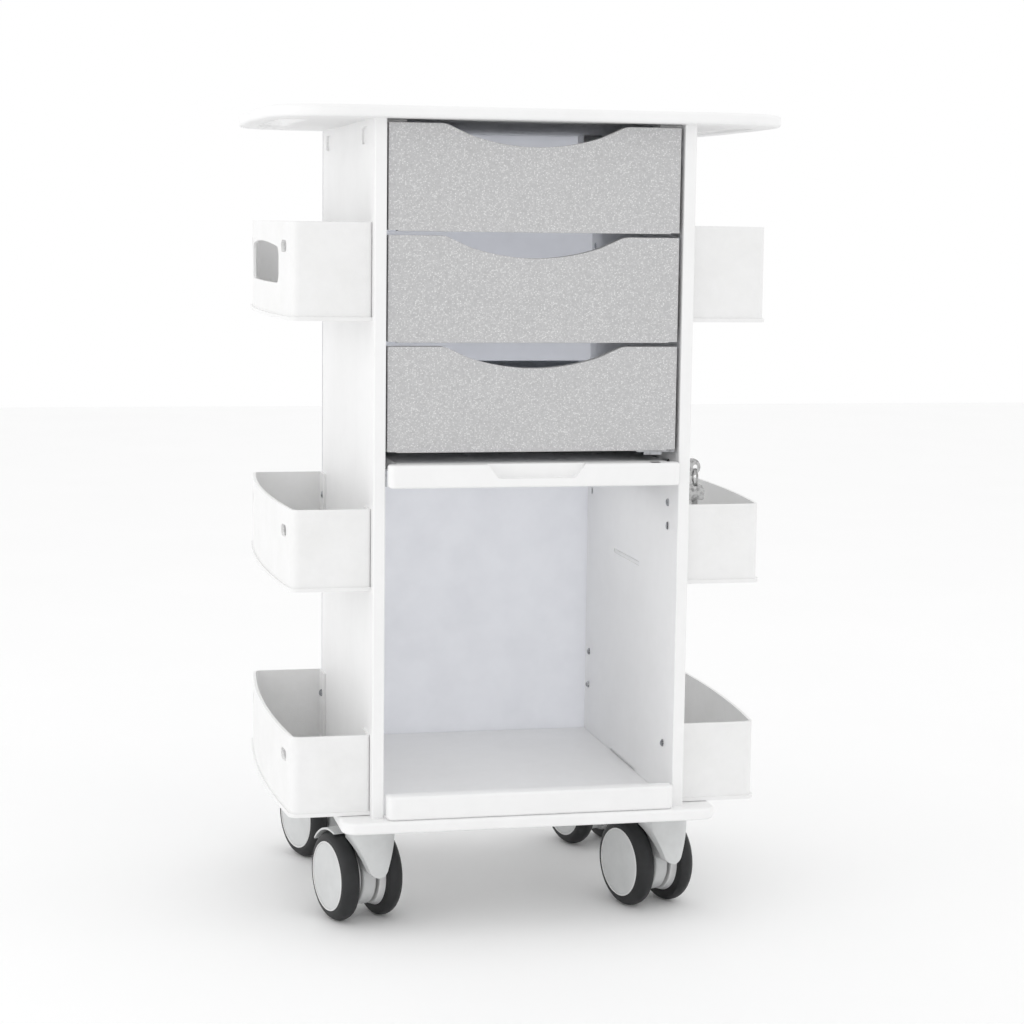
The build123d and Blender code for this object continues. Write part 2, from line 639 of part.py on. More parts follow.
def key_blade():
    """Blade along +X from the origin, thin in Y, with bitting cut into its lower edge."""
    half_t = BLADE_THICK / 2
    half_h = BLADE_HEIGHT / 2
    blade = block(0, BLADE_LENGTH, -half_t, half_t, -half_h, half_h)
    step = BLADE_LENGTH / (BLADE_CUTS + 2)
    for number in range(BLADE_CUTS):
        x = step * (number + 1)
        cut = Pos(x, 0, -half_h) * Rot(0, 45, 0) * Box(BLADE_CUT_DEPTH, BLADE_THICK + 1, BLADE_CUT_DEPTH)
        blade -= cut
    return blade


def lock_key():
    """Key in the lock: blade in the keyway, round bow standing upright."""
    bow = Pos(KEY_BOW_X, LOCK_Y, LOCK_Z) * Rot(90, 0, 0) * Cylinder(KEY_BOW_R, KEY_THICK)
    bow = fillet(bow.edges().filter_by(GeomType.CIRCLE), KEY_THICK / 4)
    bow -= Pos(KEY_HOLE_X, LOCK_Y, LOCK_Z) * Rot(90, 0, 0) * Cylinder(KEY_HOLE_R, KEY_THICK + 2)
    tip_x = PANEL_X + BARREL_HEAD + PLUG_PROUD - KEYWAY_DEPTH + CLEAR
    return bow + Pos(tip_x, LOCK_Y, LOCK_Z) * key_blade() - ring_room()


def ring_room():
    """Cylinder that keeps the blade out of the hole in the bow."""
    return Pos(KEY_HOLE_X, LOCK_Y, LOCK_Z) * Rot(90, 0, 0) * Cylinder(KEY_HOLE_R, KEY_THICK + 2)


def key_ring():
    return Pos(KEY_HOLE_X, LOCK_Y, RING_Z) * Rot(0, 90, 0) * Torus(RING_R, RING_WIRE_R)


def spare_key():
    """Key with a bell-shaped bow that hangs from the ring, blade down."""
    lines = Line((-SPARE_HALF_WIDTH, 0), (SPARE_HALF_WIDTH, 0))
    lines += Line((SPARE_HALF_WIDTH, 0), (SPARE_HALF_WIDTH, SPARE_SHOULDER))
    lines += ThreePointArc(
        (SPARE_HALF_WIDTH, SPARE_SHOULDER), (0, SPARE_HEIGHT), (-SPARE_HALF_WIDTH, SPARE_SHOULDER)
    )
    lines += Line((-SPARE_HALF_WIDTH, SPARE_SHOULDER), (-SPARE_HALF_WIDTH, 0))
    face = make_face(lines)
    face = fillet(face.vertices().group_by(Axis.Y)[0], 2)
    face -= Pos(0, SPARE_HOLE_UP) * Circle(SPARE_HOLE_R)
    bow_z = SPARE_HOLE_Z - SPARE_HOLE_UP
    bow = Pos(KEY_HOLE_X, LOCK_Y + KEY_THICK / 2, bow_z) * extrude(Plane.XZ * face, KEY_THICK)
    blade = Pos(KEY_HOLE_X, LOCK_Y, bow_z + 1) * Rot(0, 90, 0) * key_blade()
    return bow + blade


# ------------------------------------------------------------------ casters (axle along X, trail towards +Y)
def at_axle(shape):
    return Pos(0, TRAIL, WHEEL_R) * shape


def tread_radius(x):
    """Radius of the tread at a distance from the middle of the caster."""
    return WHEEL_R - TREAD_CURVE_R + math.sqrt(TREAD_CURVE_R**2 - (x - TREAD_X) ** 2)


def tyre():
    inner = (TYRE_INNER_X, tread_radius(TYRE_INNER_X))
    outer = (TYRE_OUTER_X, tread_radius(TYRE_OUTER_X))
    lines = Line((TYRE_INNER_X, HUB_R), inner)
    lines += ThreePointArc(inner, (TREAD_X, WHEEL_R), outer)
    lines += Line(outer, (TYRE_OUTER_X, HUB_R))
    lines += Line((TYRE_OUTER_X, HUB_R), (TYRE_INNER_X, HUB_R))
    return at_axle(revolve(make_face(lines), Axis.X))


def hub():
    """Hub with an inner flange, a drum under the tyre and a flat face inside a thin rim."""
    drum = rod_x(HUB_R, TYRE_INNER_X, TYRE_OUTER_X)
    flange = rod_x(HUB_INNER_R, HUB_INNER_X, TYRE_INNER_X)
    rim = rod_x(HUB_RIM_R, TYRE_OUTER_X, TYRE_OUTER_X + HUB_RIM)
    rim = fillet(rim.edges().group_by(Axis.X)[-1], HUB_RIM / 3)
    face_x = TYRE_OUTER_X + HUB_RIM / 3
    rim -= rod_x(HUB_RIM_R - HUB_RIM_WIDTH, face_x, TYRE_OUTER_X + 2 * HUB_RIM)
    disc = drum + flange + rim
    return at_axle(disc - rod_x(AXLE_R + AXLE_CLEAR, HUB_INNER_X, AXLE_HALF + CLEAR))


def axle():
    return at_axle(rod_x(AXLE_R, -AXLE_HALF, AXLE_HALF))


def ring_sector(radius, thick, half_width, angle_from, angle_to):
    """Part of a drum about the axle, from and to angles counted back from straight up."""
    band = rod_x(radius + thick, -half_width, half_width) - rod_x(radius, -half_width, half_width)
    reach = 2 * (radius + thick)
    angles = (math.radians(angle_from), math.radians(angle_to))
    rays = [(reach * math.sin(a), reach * math.cos(a)) for a in angles]
    wedge = make_face(Polyline((0, 0), rays[0], rays[1], close=True))
    sector = Pos(-half_width, 0, 0) * extrude(Plane.YZ * wedge, 2 * half_width)
    return at_axle(band & sector)


def hood():
    """Caster body: apron in front, disc between the wheels, fender over their backs."""
    apron_face = make_face(
        Polyline(
            (-HOOD_R, HOOD_TOP_Z),
            (HOOD_R, HOOD_TOP_Z),
            (HOOD_R, HOOD_SHOULDER_Z),
            (0, HOOD_TIP_Z),
            (-HOOD_R, HOOD_SHOULDER_Z),
            close=True,
        )
    )
    apron_face = fillet(apron_face.vertices().group_by(Axis.Y)[0], HOOD_TIP_R)
    drum = rod_z(HOOD_R, HOOD_TIP_Z, HOOD_TOP_Z) & upright(apron_face, HOOD_R, 2 * HOOD_R)
    for side in (-1, 1):
        gap = rod_x(HOOD_WHEEL_GAP_R, side * HOOD_SPINE_X, side * (HOOD_SPINE_X + HOOD_R))
        drum -= at_axle(gap)
    core = at_axle(rod_x(CORE_R, -CORE_HALF, CORE_HALF))
    core = fillet(core.edges().filter_by(GeomType.CIRCLE), 2)
    fender = ring_sector(FENDER_R, FENDER_THICK, FENDER_HALF, FENDER_FROM, FENDER_TO)
    rib = ring_sector(CORE_R - 4, FENDER_R - CORE_R + 5, CORE_HALF, FENDER_FROM, FENDER_TO)
    body = drum + core + fender + rib
    body -= at_axle(rod_x(AXLE_R, -CORE_HALF - 1, CORE_HALF + 1))
    return body - rod_z(STEM_R + STEM_CLEAR, STEM_BOTTOM_Z - 1, HOOD_TOP_Z)


def stem():
    """Fixed stem: a flange under the base board, a spigot up into it and a pivot down into the hood."""
    flange = rod_z(STEM_FLANGE_R, BASE_Z - STEM_FLANGE, BASE_Z)
    spigot = rod_z(STEM_IN_BASE_R, BASE_Z, BASE_Z + STEM_IN_BASE)
    return flange + spigot + rod_z(STEM_R, STEM_BOTTOM_Z, BASE_Z - STEM_FLANGE)


def caster_stems():
    return [Pos(side * SWIVEL_X, end * SWIVEL_Y, 0) * stem() for side, end, _ in CASTERS.values()]


def caster_nodes(name):
    """The six pieces of one caster, turned to its own swivel angle."""
    side, end, angle = CASTERS[name]
    place = Pos(side * SWIVEL_X, end * SWIVEL_Y, 0) * Rot(0, 0, angle)
    pieces = {"hood": hood(), "axle": axle()}
    for hand, sign in (("left", -1), ("right", 1)):
        pieces[f"hub_{hand}"] = on_side(hub(), sign)
        pieces[f"tyre_{hand}"] = on_side(tyre(), sign)
    return {f"caster_{name}_{piece}": place * shape for piece, shape in pieces.items()}


# ------------------------------------------------------------------ all nodes
def build_nodes():
    nodes = {
        "worktop": worktop(),
        "side_panel_left": side_panel(-1),
        "side_panel_right": side_panel(1),
        "back_panel": back_panel(),
        "base_board": base_board(),
        "floor_tray": floor_tray(),
        "cabinet_rails": cabinet_rails(),
        "panel_screws": panel_screws(),
        "worktop_cleats": worktop_cleats(),
        "pocket_caps": pocket_caps(),
        "lock_barrel": lock_barrel(),
        "lock_plug": lock_plug(),
        "lock_cam": lock_cam(),
        "lock_cam_screw": cam_screw(),
        "lock_strike": lock_strike(),
        "lock_key": lock_key(),
        "key_ring": key_ring(),
        "spare_key": spare_key(),
        "caster_stems": caster_stems(),
        "pull_out_shelf": pull_out_shelf(),
        "shelf_rails": shelf_rails(),
    }
    for hand, side in (("left", -1), ("right", 1)):
        for level in BIN_BASES:
            nodes[f"bin_{hand}_{level}"] = side_bin(side, level)
    for index in range(1, DRAWER_COUNT + 1):
        nodes[f"drawer_{index}_front"] = drawer_front(index)
        nodes[f"drawer_{index}_box"] = drawer_box(index)
        nodes[f"drawer_{index}_rails"] = drawer_rails(index)
    for name in CASTERS:
        nodes.update(caster_nodes(name))
    return nodes


def solids_of(node):
    """The separate solids of a node."""
    items = node if isinstance(node, list) else [node]
    return [solid for item in items for solid in item.solids()]


def export_nodes():
    nodes = {name: solids_of(node) for name, node in build_nodes().items()}
    boxes = [solid.bounding_box() for solids in nodes.values() for solid in solids]
    middle_y = (min(b.min.Y for b in boxes) + max(b.max.Y for b in boxes)) / 2
    print(f"nodes {len(nodes)}, origin {middle_y:.4f} behind the middle of the worktop")
    for name, solids in nodes.items():
        placed = [Pos(0, -middle_y, 0) * solid for solid in solids]
        shape = placed[0] if len(placed) == 1 else Compound(placed)
        export_step(shape, f"parts/{name}.step")


export_nodes()
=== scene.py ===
"""Rolling salon trolley: the finishes, fine pieces, light and camera around its CAD frame.

Everything is in metres and in the frame of the CAD model, whose floor is z = 0.
The trolley's drawers open towards -Y.
"""

import json
import logging
import math
from collections.abc import Iterable, Sequence
from dataclasses import dataclass, field
from enum import Enum

import bmesh
import bpy
from mathutils import Matrix, Vector

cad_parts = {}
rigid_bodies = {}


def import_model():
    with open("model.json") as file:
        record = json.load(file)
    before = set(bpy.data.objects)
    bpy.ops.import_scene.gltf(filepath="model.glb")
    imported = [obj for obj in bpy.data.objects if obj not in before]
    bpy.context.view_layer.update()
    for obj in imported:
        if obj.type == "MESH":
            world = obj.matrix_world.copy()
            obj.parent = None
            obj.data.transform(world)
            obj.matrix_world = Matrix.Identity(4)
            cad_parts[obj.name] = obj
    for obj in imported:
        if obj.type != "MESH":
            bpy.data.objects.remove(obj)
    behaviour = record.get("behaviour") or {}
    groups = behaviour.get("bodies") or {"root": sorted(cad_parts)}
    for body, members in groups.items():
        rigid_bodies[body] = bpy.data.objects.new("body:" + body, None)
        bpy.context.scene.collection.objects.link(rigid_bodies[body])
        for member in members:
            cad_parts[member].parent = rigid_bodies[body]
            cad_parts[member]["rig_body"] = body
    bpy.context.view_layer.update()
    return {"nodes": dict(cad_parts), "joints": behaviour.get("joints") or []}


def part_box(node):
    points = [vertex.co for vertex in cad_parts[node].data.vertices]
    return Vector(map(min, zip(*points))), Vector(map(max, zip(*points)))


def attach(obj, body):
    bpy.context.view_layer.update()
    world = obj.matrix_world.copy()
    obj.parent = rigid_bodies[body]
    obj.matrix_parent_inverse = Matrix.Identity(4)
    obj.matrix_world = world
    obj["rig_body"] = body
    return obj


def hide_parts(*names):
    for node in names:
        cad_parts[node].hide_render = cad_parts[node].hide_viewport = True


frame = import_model()

MM = 0.001
WELD = 0.02 * MM
ORIGIN = Vector((0.0, 0.0, 0.0))
UP = Vector((0.0, 0.0, 1.0))
LOG = logging.getLogger("trolley")

Colour = tuple[float, float, float]


# ---------------------------------------------------------------------------------------- finishes
class Slot(Enum):
    """The record's material slots, by the name that the frame gives them."""

    SHEET = "white_sheet"
    LINER = "inner_sheet"
    BIN = "bin_plastic"
    FRONT = "drawer_front"
    BOX = "drawer_box"
    ZINC = "zinc"
    NICKEL = "nickel"
    CASTER = "caster_plastic"
    HUB = "hub_plastic"
    TYRE = "tyre_rubber"
    AXLE = "axle_steel"


def rgba(colour: Colour) -> tuple[float, float, float, float]:
    """The colour with full opacity."""
    return (*colour, 1.0)


def spread_out(nodes: Sequence[bpy.types.Node], columns: dict[str, tuple[int, int]]) -> None:
    """Places each labelled node in the node editor.

    Args:
        nodes: The nodes of one material, each with a label.
        columns: Column and row of each label.
    """
    for node in nodes:
        if node.label in columns:
            column, row = columns[node.label]
            node.location = (column * 240.0, -row * 260.0)


def gather(tree: bpy.types.NodeTree, title: str, members: Iterable[bpy.types.Node]) -> None:
    """Puts nodes that make one effect in a frame of their own.

    Args:
        tree: The node tree that holds them.
        title: What the effect is.
        members: The nodes of the effect.
    """
    box = tree.nodes.new("NodeFrame")
    box.label = title
    for member in members:
        member.parent = box


@dataclass(frozen=True)
class PlasticFinish:
    """Sheet or moulded plastic with a faint cloudiness, a fine grain and light scuffs."""

    name: str
    colour: Colour
    cloud_colour: Colour
    cloud_size: float
    grain_size: float
    grain_depth: float
    peel_size: float
    peel_depth: float
    roughness: float
    scuffs: float = 0.12
    light_through: float = 0.0
    through_colour: Colour = (0.93, 0.95, 1.0)

    def build(self) -> bpy.types.Material:
        """Writes the material's nodes.

        Returns:
            The finished material.
        """
        material = bpy.data.materials.new(self.name)
        material.use_nodes = True
        tree = material.node_tree
        tree.nodes.clear()

        coords = tree.nodes.new("ShaderNodeTexCoord")
        coords.label = "Place on the object"

        clouds = tree.nodes.new("ShaderNodeTexNoise")
        clouds.label = "Cloudy moulding marks"
        clouds.inputs["Scale"].default_value = 1.0 / self.cloud_size
        clouds.inputs["Detail"].default_value = 4.0
        clouds.inputs["Roughness"].default_value = 0.55
        cloud_range = tree.nodes.new("ShaderNodeMapRange")
        cloud_range.label = "Cloud strength"
        cloud_range.inputs["From Min"].default_value = 0.35
        cloud_range.inputs["From Max"].default_value = 0.7
        tint = tree.nodes.new("ShaderNodeMix")
        tint.label = "Base and cloud colours"
        tint.data_type = "RGBA"
        tint.inputs[6].default_value = rgba(self.colour)
        tint.inputs[7].default_value = rgba(self.cloud_colour)
        dust = tree.nodes.new("ShaderNodeTexNoise")
        dust.label = "Fine mottle"
        dust.inputs["Scale"].default_value = 6.0 / self.cloud_size
        dust.inputs["Detail"].default_value = 6.0
        dust_range = tree.nodes.new("ShaderNodeMapRange")
        dust_range.label = "Mottle strength"
        dust_range.inputs["To Min"].default_value = 0.975
        dust_range.inputs["To Max"].default_value = 1.02
        mottle = tree.nodes.new("ShaderNodeVectorMath")
        mottle.label = "Mottled colour"
        mottle.operation = "SCALE"

        smudges = tree.nodes.new("ShaderNodeTexNoise")
        smudges.label = "Handling smudges"
        smudges.inputs["Scale"].default_value = 11.0
        smudges.inputs["Detail"].default_value = 5.0
        smudge_range = tree.nodes.new("ShaderNodeMapRange")
        smudge_range.label = "Gloss from smudges"
        smudge_range.inputs["To Min"].default_value = self.roughness - 0.07
        smudge_range.inputs["To Max"].default_value = self.roughness + 0.09
        stretch = tree.nodes.new("ShaderNodeMapping")
        stretch.label = "Stretch into scuffs"
        stretch.inputs["Rotation"].default_value = (0.2, 0.5, 0.35)
        stretch.inputs["Scale"].default_value = (420.0, 420.0, 14.0)
        scuff_noise = tree.nodes.new("ShaderNodeTexNoise")
        scuff_noise.label = "Scuff lines"
        scuff_noise.inputs["Scale"].default_value = 1.0
        scuff_noise.inputs["Detail"].default_value = 2.0
        scuff_range = tree.nodes.new("ShaderNodeMapRange")
        scuff_range.label = "Only the deepest scuffs"
        scuff_range.inputs["From Min"].default_value = 0.66
        scuff_range.inputs["From Max"].default_value = 0.78
        scuff_range.inputs["To Max"].default_value = self.scuffs
        gloss = tree.nodes.new("ShaderNodeMath")
        gloss.label = "Smudges and scuffs"
        gloss.operation = "ADD"
        gloss.use_clamp = True

        grain = tree.nodes.new("ShaderNodeTexNoise")
        grain.label = "Fine grain"
        grain.inputs["Scale"].default_value = 1.0 / self.grain_size
        grain.inputs["Detail"].default_value = 2.0
        peel = tree.nodes.new("ShaderNodeTexNoise")
        peel.label = "Slow waviness"
        peel.inputs["Scale"].default_value = 1.0 / self.peel_size
        peel.inputs["Detail"].default_value = 1.0
        peel_bump = tree.nodes.new("ShaderNodeBump")
        peel_bump.label = "Waviness relief"
        peel_bump.inputs["Strength"].default_value = 0.5
        peel_bump.inputs["Distance"].default_value = self.peel_depth
        grain_bump = tree.nodes.new("ShaderNodeBump")
        grain_bump.label = "Grain relief"
        grain_bump.inputs["Strength"].default_value = 0.6
        grain_bump.inputs["Distance"].default_value = self.grain_depth

        surface = tree.nodes.new("ShaderNodeBsdfPrincipled")
        surface.label = "Plastic"
        surface.inputs["IOR"].default_value = 1.49
        surface.inputs["Specular IOR Level"].default_value = 0.42
        output = tree.nodes.new("ShaderNodeOutputMaterial")
        output.label = "Surface"

        tree.links.new(coords.outputs["Object"], clouds.inputs["Vector"])
        tree.links.new(coords.outputs["Object"], dust.inputs["Vector"])
        tree.links.new(coords.outputs["Object"], smudges.inputs["Vector"])
        tree.links.new(coords.outputs["Object"], stretch.inputs["Vector"])
        tree.links.new(coords.outputs["Object"], grain.inputs["Vector"])
        tree.links.new(coords.outputs["Object"], peel.inputs["Vector"])
        tree.links.new(clouds.outputs["Fac"], cloud_range.inputs["Value"])
        tree.links.new(cloud_range.outputs["Result"], tint.inputs[0])
        tree.links.new(dust.outputs["Fac"], dust_range.inputs["Value"])
        tree.links.new(tint.outputs[2], mottle.inputs[0])
        tree.links.new(dust_range.outputs["Result"], mottle.inputs["Scale"])
        tree.links.new(mottle.outputs[0], surface.inputs["Base Color"])
        tree.links.new(smudges.outputs["Fac"], smudge_range.inputs["Value"])
        tree.links.new(stretch.outputs["Vector"], scuff_noise.inputs["Vector"])
        tree.links.new(scuff_noise.outputs["Fac"], scuff_range.inputs["Value"])
        tree.links.new(smudge_range.outputs["Result"], gloss.inputs[0])
        tree.links.new(scuff_range.outputs["Result"], gloss.inputs[1])
        tree.links.new(gloss.outputs[0], surface.inputs["Roughness"])
        tree.links.new(peel.outputs["Fac"], peel_bump.inputs["Height"])
        tree.links.new(grain.outputs["Fac"], grain_bump.inputs["Height"])
        tree.links.new(peel_bump.outputs["Normal"], grain_bump.inputs["Normal"])
        tree.links.new(grain_bump.outputs["Normal"], surface.inputs["Normal"])
        if self.light_through > 0:
            through = tree.nodes.new("ShaderNodeBsdfTranslucent")
            through.label = "Light through the sheet"
            through.inputs["Color"].default_value = rgba(self.through_colour)
            sheet = tree.nodes.new("ShaderNodeMixShader")
            sheet.label = "How clear the sheet is"
            sheet.inputs["Fac"].default_value = self.light_through
            tree.links.new(surface.outputs["BSDF"], sheet.inputs[1])
            tree.links.new(through.outputs["BSDF"], sheet.inputs[2])
            tree.links.new(sheet.outputs["Shader"], output.inputs["Surface"])
            gather(tree, "Clear sheet", (through, sheet))
        else:
            tree.links.new(surface.outputs["BSDF"], output.inputs["Surface"])

        gather(tree, "Colour", (clouds, cloud_range, tint, dust, dust_range, mottle))
        gather(tree, "Gloss", (smudges, smudge_range, stretch, scuff_noise, scuff_range, gloss))
        gather(tree, "Relief", (grain, peel, peel_bump, grain_bump))
        spread_out(
            tree.nodes,
            {
                "Place on the object": (0, 3),
                "Cloudy moulding marks": (1, 0),
                "Cloud strength": (2, 0),
                "Base and cloud colours": (3, 0),
                "Fine mottle": (1, 1),
                "Mottle strength": (2, 1),
                "Mottled colour": (4, 0),
                "Handling smudges": (1, 2),
                "Gloss from smudges": (2, 2),
                "Stretch into scuffs": (1, 3),
                "Scuff lines": (2, 3),
                "Only the deepest scuffs": (3, 3),
                "Smudges and scuffs": (4, 2),
                "Fine grain": (1, 4),
                "Slow waviness": (1, 5),
                "Waviness relief": (3, 5),
                "Grain relief": (4, 4),
                "Plastic": (6, 1),
                "Light through the sheet": (6, 3),
                "How clear the sheet is": (7, 1),
                "Surface": (8, 1),
            },
        )
        return material


@dataclass(frozen=True)
class FleckedFinish:
    """Silver-grey laminate with pale flecks of two sizes, as on the drawer fronts."""

    name: str
    colour: Colour
    deep_colour: Colour
    fleck_colour: Colour
    fine_fleck: float
    coarse_fleck: float
    roughness: float

    def build(self) -> bpy.types.Material:
        """Writes the material's nodes.

        Returns:
            The finished material.
        """
        material = bpy.data.materials.new(self.name)
        material.use_nodes = True
        tree = material.node_tree
        tree.nodes.clear()

        coords = tree.nodes.new("ShaderNodeTexCoord")
        coords.label = "Place on the object"

        drift = tree.nodes.new("ShaderNodeTexNoise")
        drift.label = "Slow drift of grey"
        drift.inputs["Scale"].default_value = 320.0
        drift.inputs["Detail"].default_value = 5.0
        drift.inputs["Roughness"].default_value = 0.7
        drift_range = tree.nodes.new("ShaderNodeMapRange")
        drift_range.label = "Drift strength"
        drift_range.inputs["From Min"].default_value = 0.3
        drift_range.inputs["From Max"].default_value = 0.7
        ground = tree.nodes.new("ShaderNodeMix")
        ground.label = "Grey ground"
        ground.data_type = "RGBA"
        ground.inputs[6].default_value = rgba(self.deep_colour)
        ground.inputs[7].default_value = rgba(self.colour)

        fine = tree.nodes.new("ShaderNodeTexVoronoi")
        fine.label = "Fine flecks"
        fine.inputs["Scale"].default_value = 1.0 / self.fine_fleck
        fine_size = tree.nodes.new("ShaderNodeMapRange")
        fine_size.label = "Fine fleck edge"
        fine_size.inputs["From Min"].default_value = 0.25
        fine_size.inputs["From Max"].default_value = 0.6
        fine_size.inputs["To Min"].default_value = 1.0
        fine_size.inputs["To Max"].default_value = 0.0
        fine_split = tree.nodes.new("ShaderNodeSeparateColor")
        fine_split.label = "Draw for each fine fleck"
        fine_pick = tree.nodes.new("ShaderNodeMapRange")
        fine_pick.label = "Which fine flecks show"
        fine_pick.inputs["From Min"].default_value = 0.3
        fine_pick.inputs["From Max"].default_value = 1.0
        fine_mask = tree.nodes.new("ShaderNodeMath")
        fine_mask.label = "Fine fleck mask"
        fine_mask.operation = "MULTIPLY"

        coarse = tree.nodes.new("ShaderNodeTexVoronoi")
        coarse.label = "Coarse flecks"
        coarse.inputs["Scale"].default_value = 1.0 / self.coarse_fleck
        coarse_size = tree.nodes.new("ShaderNodeMapRange")
        coarse_size.label = "Coarse fleck edge"
        coarse_size.inputs["From Min"].default_value = 0.16
        coarse_size.inputs["From Max"].default_value = 0.34
        coarse_size.inputs["To Min"].default_value = 1.0
        coarse_size.inputs["To Max"].default_value = 0.0
        coarse_split = tree.nodes.new("ShaderNodeSeparateColor")
        coarse_split.label = "Draw for each coarse fleck"
        coarse_pick = tree.nodes.new("ShaderNodeMapRange")
        coarse_pick.label = "Which coarse flecks show"
        coarse_pick.inputs["From Min"].default_value = 0.72
        coarse_pick.inputs["From Max"].default_value = 1.05
        coarse_mask = tree.nodes.new("ShaderNodeMath")
        coarse_mask.label = "Coarse fleck mask"
        coarse_mask.operation = "MULTIPLY"

        masks = tree.nodes.new("ShaderNodeMath")
        masks.label = "All flecks"
        masks.operation = "MAXIMUM"
        flecked = tree.nodes.new("ShaderNodeMix")
        flecked.label = "Ground with flecks"
        flecked.data_type = "RGBA"
        flecked.inputs[7].default_value = rgba(self.fleck_colour)

        sheen_noise = tree.nodes.new("ShaderNodeTexNoise")
        sheen_noise.label = "Uneven satin"
        sheen_noise.inputs["Scale"].default_value = 14.0
        sheen_noise.inputs["Detail"].default_value = 6.0
        sheen_range = tree.nodes.new("ShaderNodeMapRange")
        sheen_range.label = "Satin range"
        sheen_range.inputs["To Min"].default_value = self.roughness - 0.06
        sheen_range.inputs["To Max"].default_value = self.roughness + 0.1
        pebble = tree.nodes.new("ShaderNodeTexNoise")
        pebble.label = "Laminate pebble"
        pebble.inputs["Scale"].default_value = 900.0
        pebble.inputs["Detail"].default_value = 2.0
        relief = tree.nodes.new("ShaderNodeBump")
        relief.label = "Pebble relief"
        relief.inputs["Strength"].default_value = 0.35
        relief.inputs["Distance"].default_value = 0.00006

        surface = tree.nodes.new("ShaderNodeBsdfPrincipled")
        surface.label = "Laminate"
        surface.inputs["IOR"].default_value = 1.5
        output = tree.nodes.new("ShaderNodeOutputMaterial")
        output.label = "Surface"

        for texture in (drift, fine, coarse, sheen_noise, pebble):
            tree.links.new(coords.outputs["Object"], texture.inputs["Vector"])
        tree.links.new(drift.outputs["Fac"], drift_range.inputs["Value"])
        tree.links.new(drift_range.outputs["Result"], ground.inputs[0])
        tree.links.new(fine.outputs["Distance"], fine_size.inputs["Value"])
        tree.links.new(fine.outputs["Color"], fine_split.inputs["Color"])
        tree.links.new(fine_split.outputs["Red"], fine_pick.inputs["Value"])
        tree.links.new(fine_size.outputs["Result"], fine_mask.inputs[0])
        tree.links.new(fine_pick.outputs["Result"], fine_mask.inputs[1])
        tree.links.new(coarse.outputs["Distance"], coarse_size.inputs["Value"])
        tree.links.new(coarse.outputs["Color"], coarse_split.inputs["Color"])
        tree.links.new(coarse_split.outputs["Red"], coarse_pick.inputs["Value"])
        tree.links.new(coarse_size.outputs["Result"], coarse_mask.inputs[0])
        tree.links.new(coarse_pick.outputs["Result"], coarse_mask.inputs[1])
        tree.links.new(fine_mask.outputs[0], masks.inputs[0])
        tree.links.new(coarse_mask.outputs[0], masks.inputs[1])
        tree.links.new(masks.outputs[0], flecked.inputs[0])
        tree.links.new(ground.outputs[2], flecked.inputs[6])
        tree.links.new(flecked.outputs[2], surface.inputs["Base Color"])
        tree.links.new(sheen_noise.outputs["Fac"], sheen_range.inputs["Value"])
        tree.links.new(sheen_range.outputs["Result"], surface.inputs["Roughness"])
        tree.links.new(pebble.outputs["Fac"], relief.inputs["Height"])
        tree.links.new(relief.outputs["Normal"], surface.inputs["Normal"])
        tree.links.new(surface.outputs["BSDF"], output.inputs["Surface"])

        gather(tree, "Grey ground", (drift, drift_range, ground))
        gather(tree, "Fine flecks", (fine, fine_size, fine_split, fine_pick, fine_mask))
        gather(tree, "Coarse flecks", (coarse, coarse_size, coarse_split, coarse_pick, coarse_mask))
        gather(tree, "Satin and relief", (sheen_noise, sheen_range, pebble, relief))
        spread_out(
            tree.nodes,
            {
                "Place on the object": (0, 3),
                "Slow drift of grey": (1, 0),
                "Drift strength": (2, 0),
                "Grey ground": (3, 0),
                "Fine flecks": (1, 1),
                "Fine fleck edge": (2, 1),
                "Draw for each fine fleck": (2, 2),
                "Which fine flecks show": (3, 2),
                "Fine fleck mask": (4, 1),
                "Coarse flecks": (1, 3),
                "Coarse fleck edge": (2, 3),
                "Draw for each coarse fleck": (2, 4),
                "Which coarse flecks show": (3, 4),
                "Coarse fleck mask": (4, 3),
                "All flecks": (5, 2),
                "Ground with flecks": (6, 1),
                "Uneven satin": (1, 5),
                "Satin range": (2, 5),
                "Laminate pebble": (1, 6),
                "Pebble relief": (3, 6),
                "Laminate": (7, 2),
                "Surface": (8, 2),
            },
        )
        return material


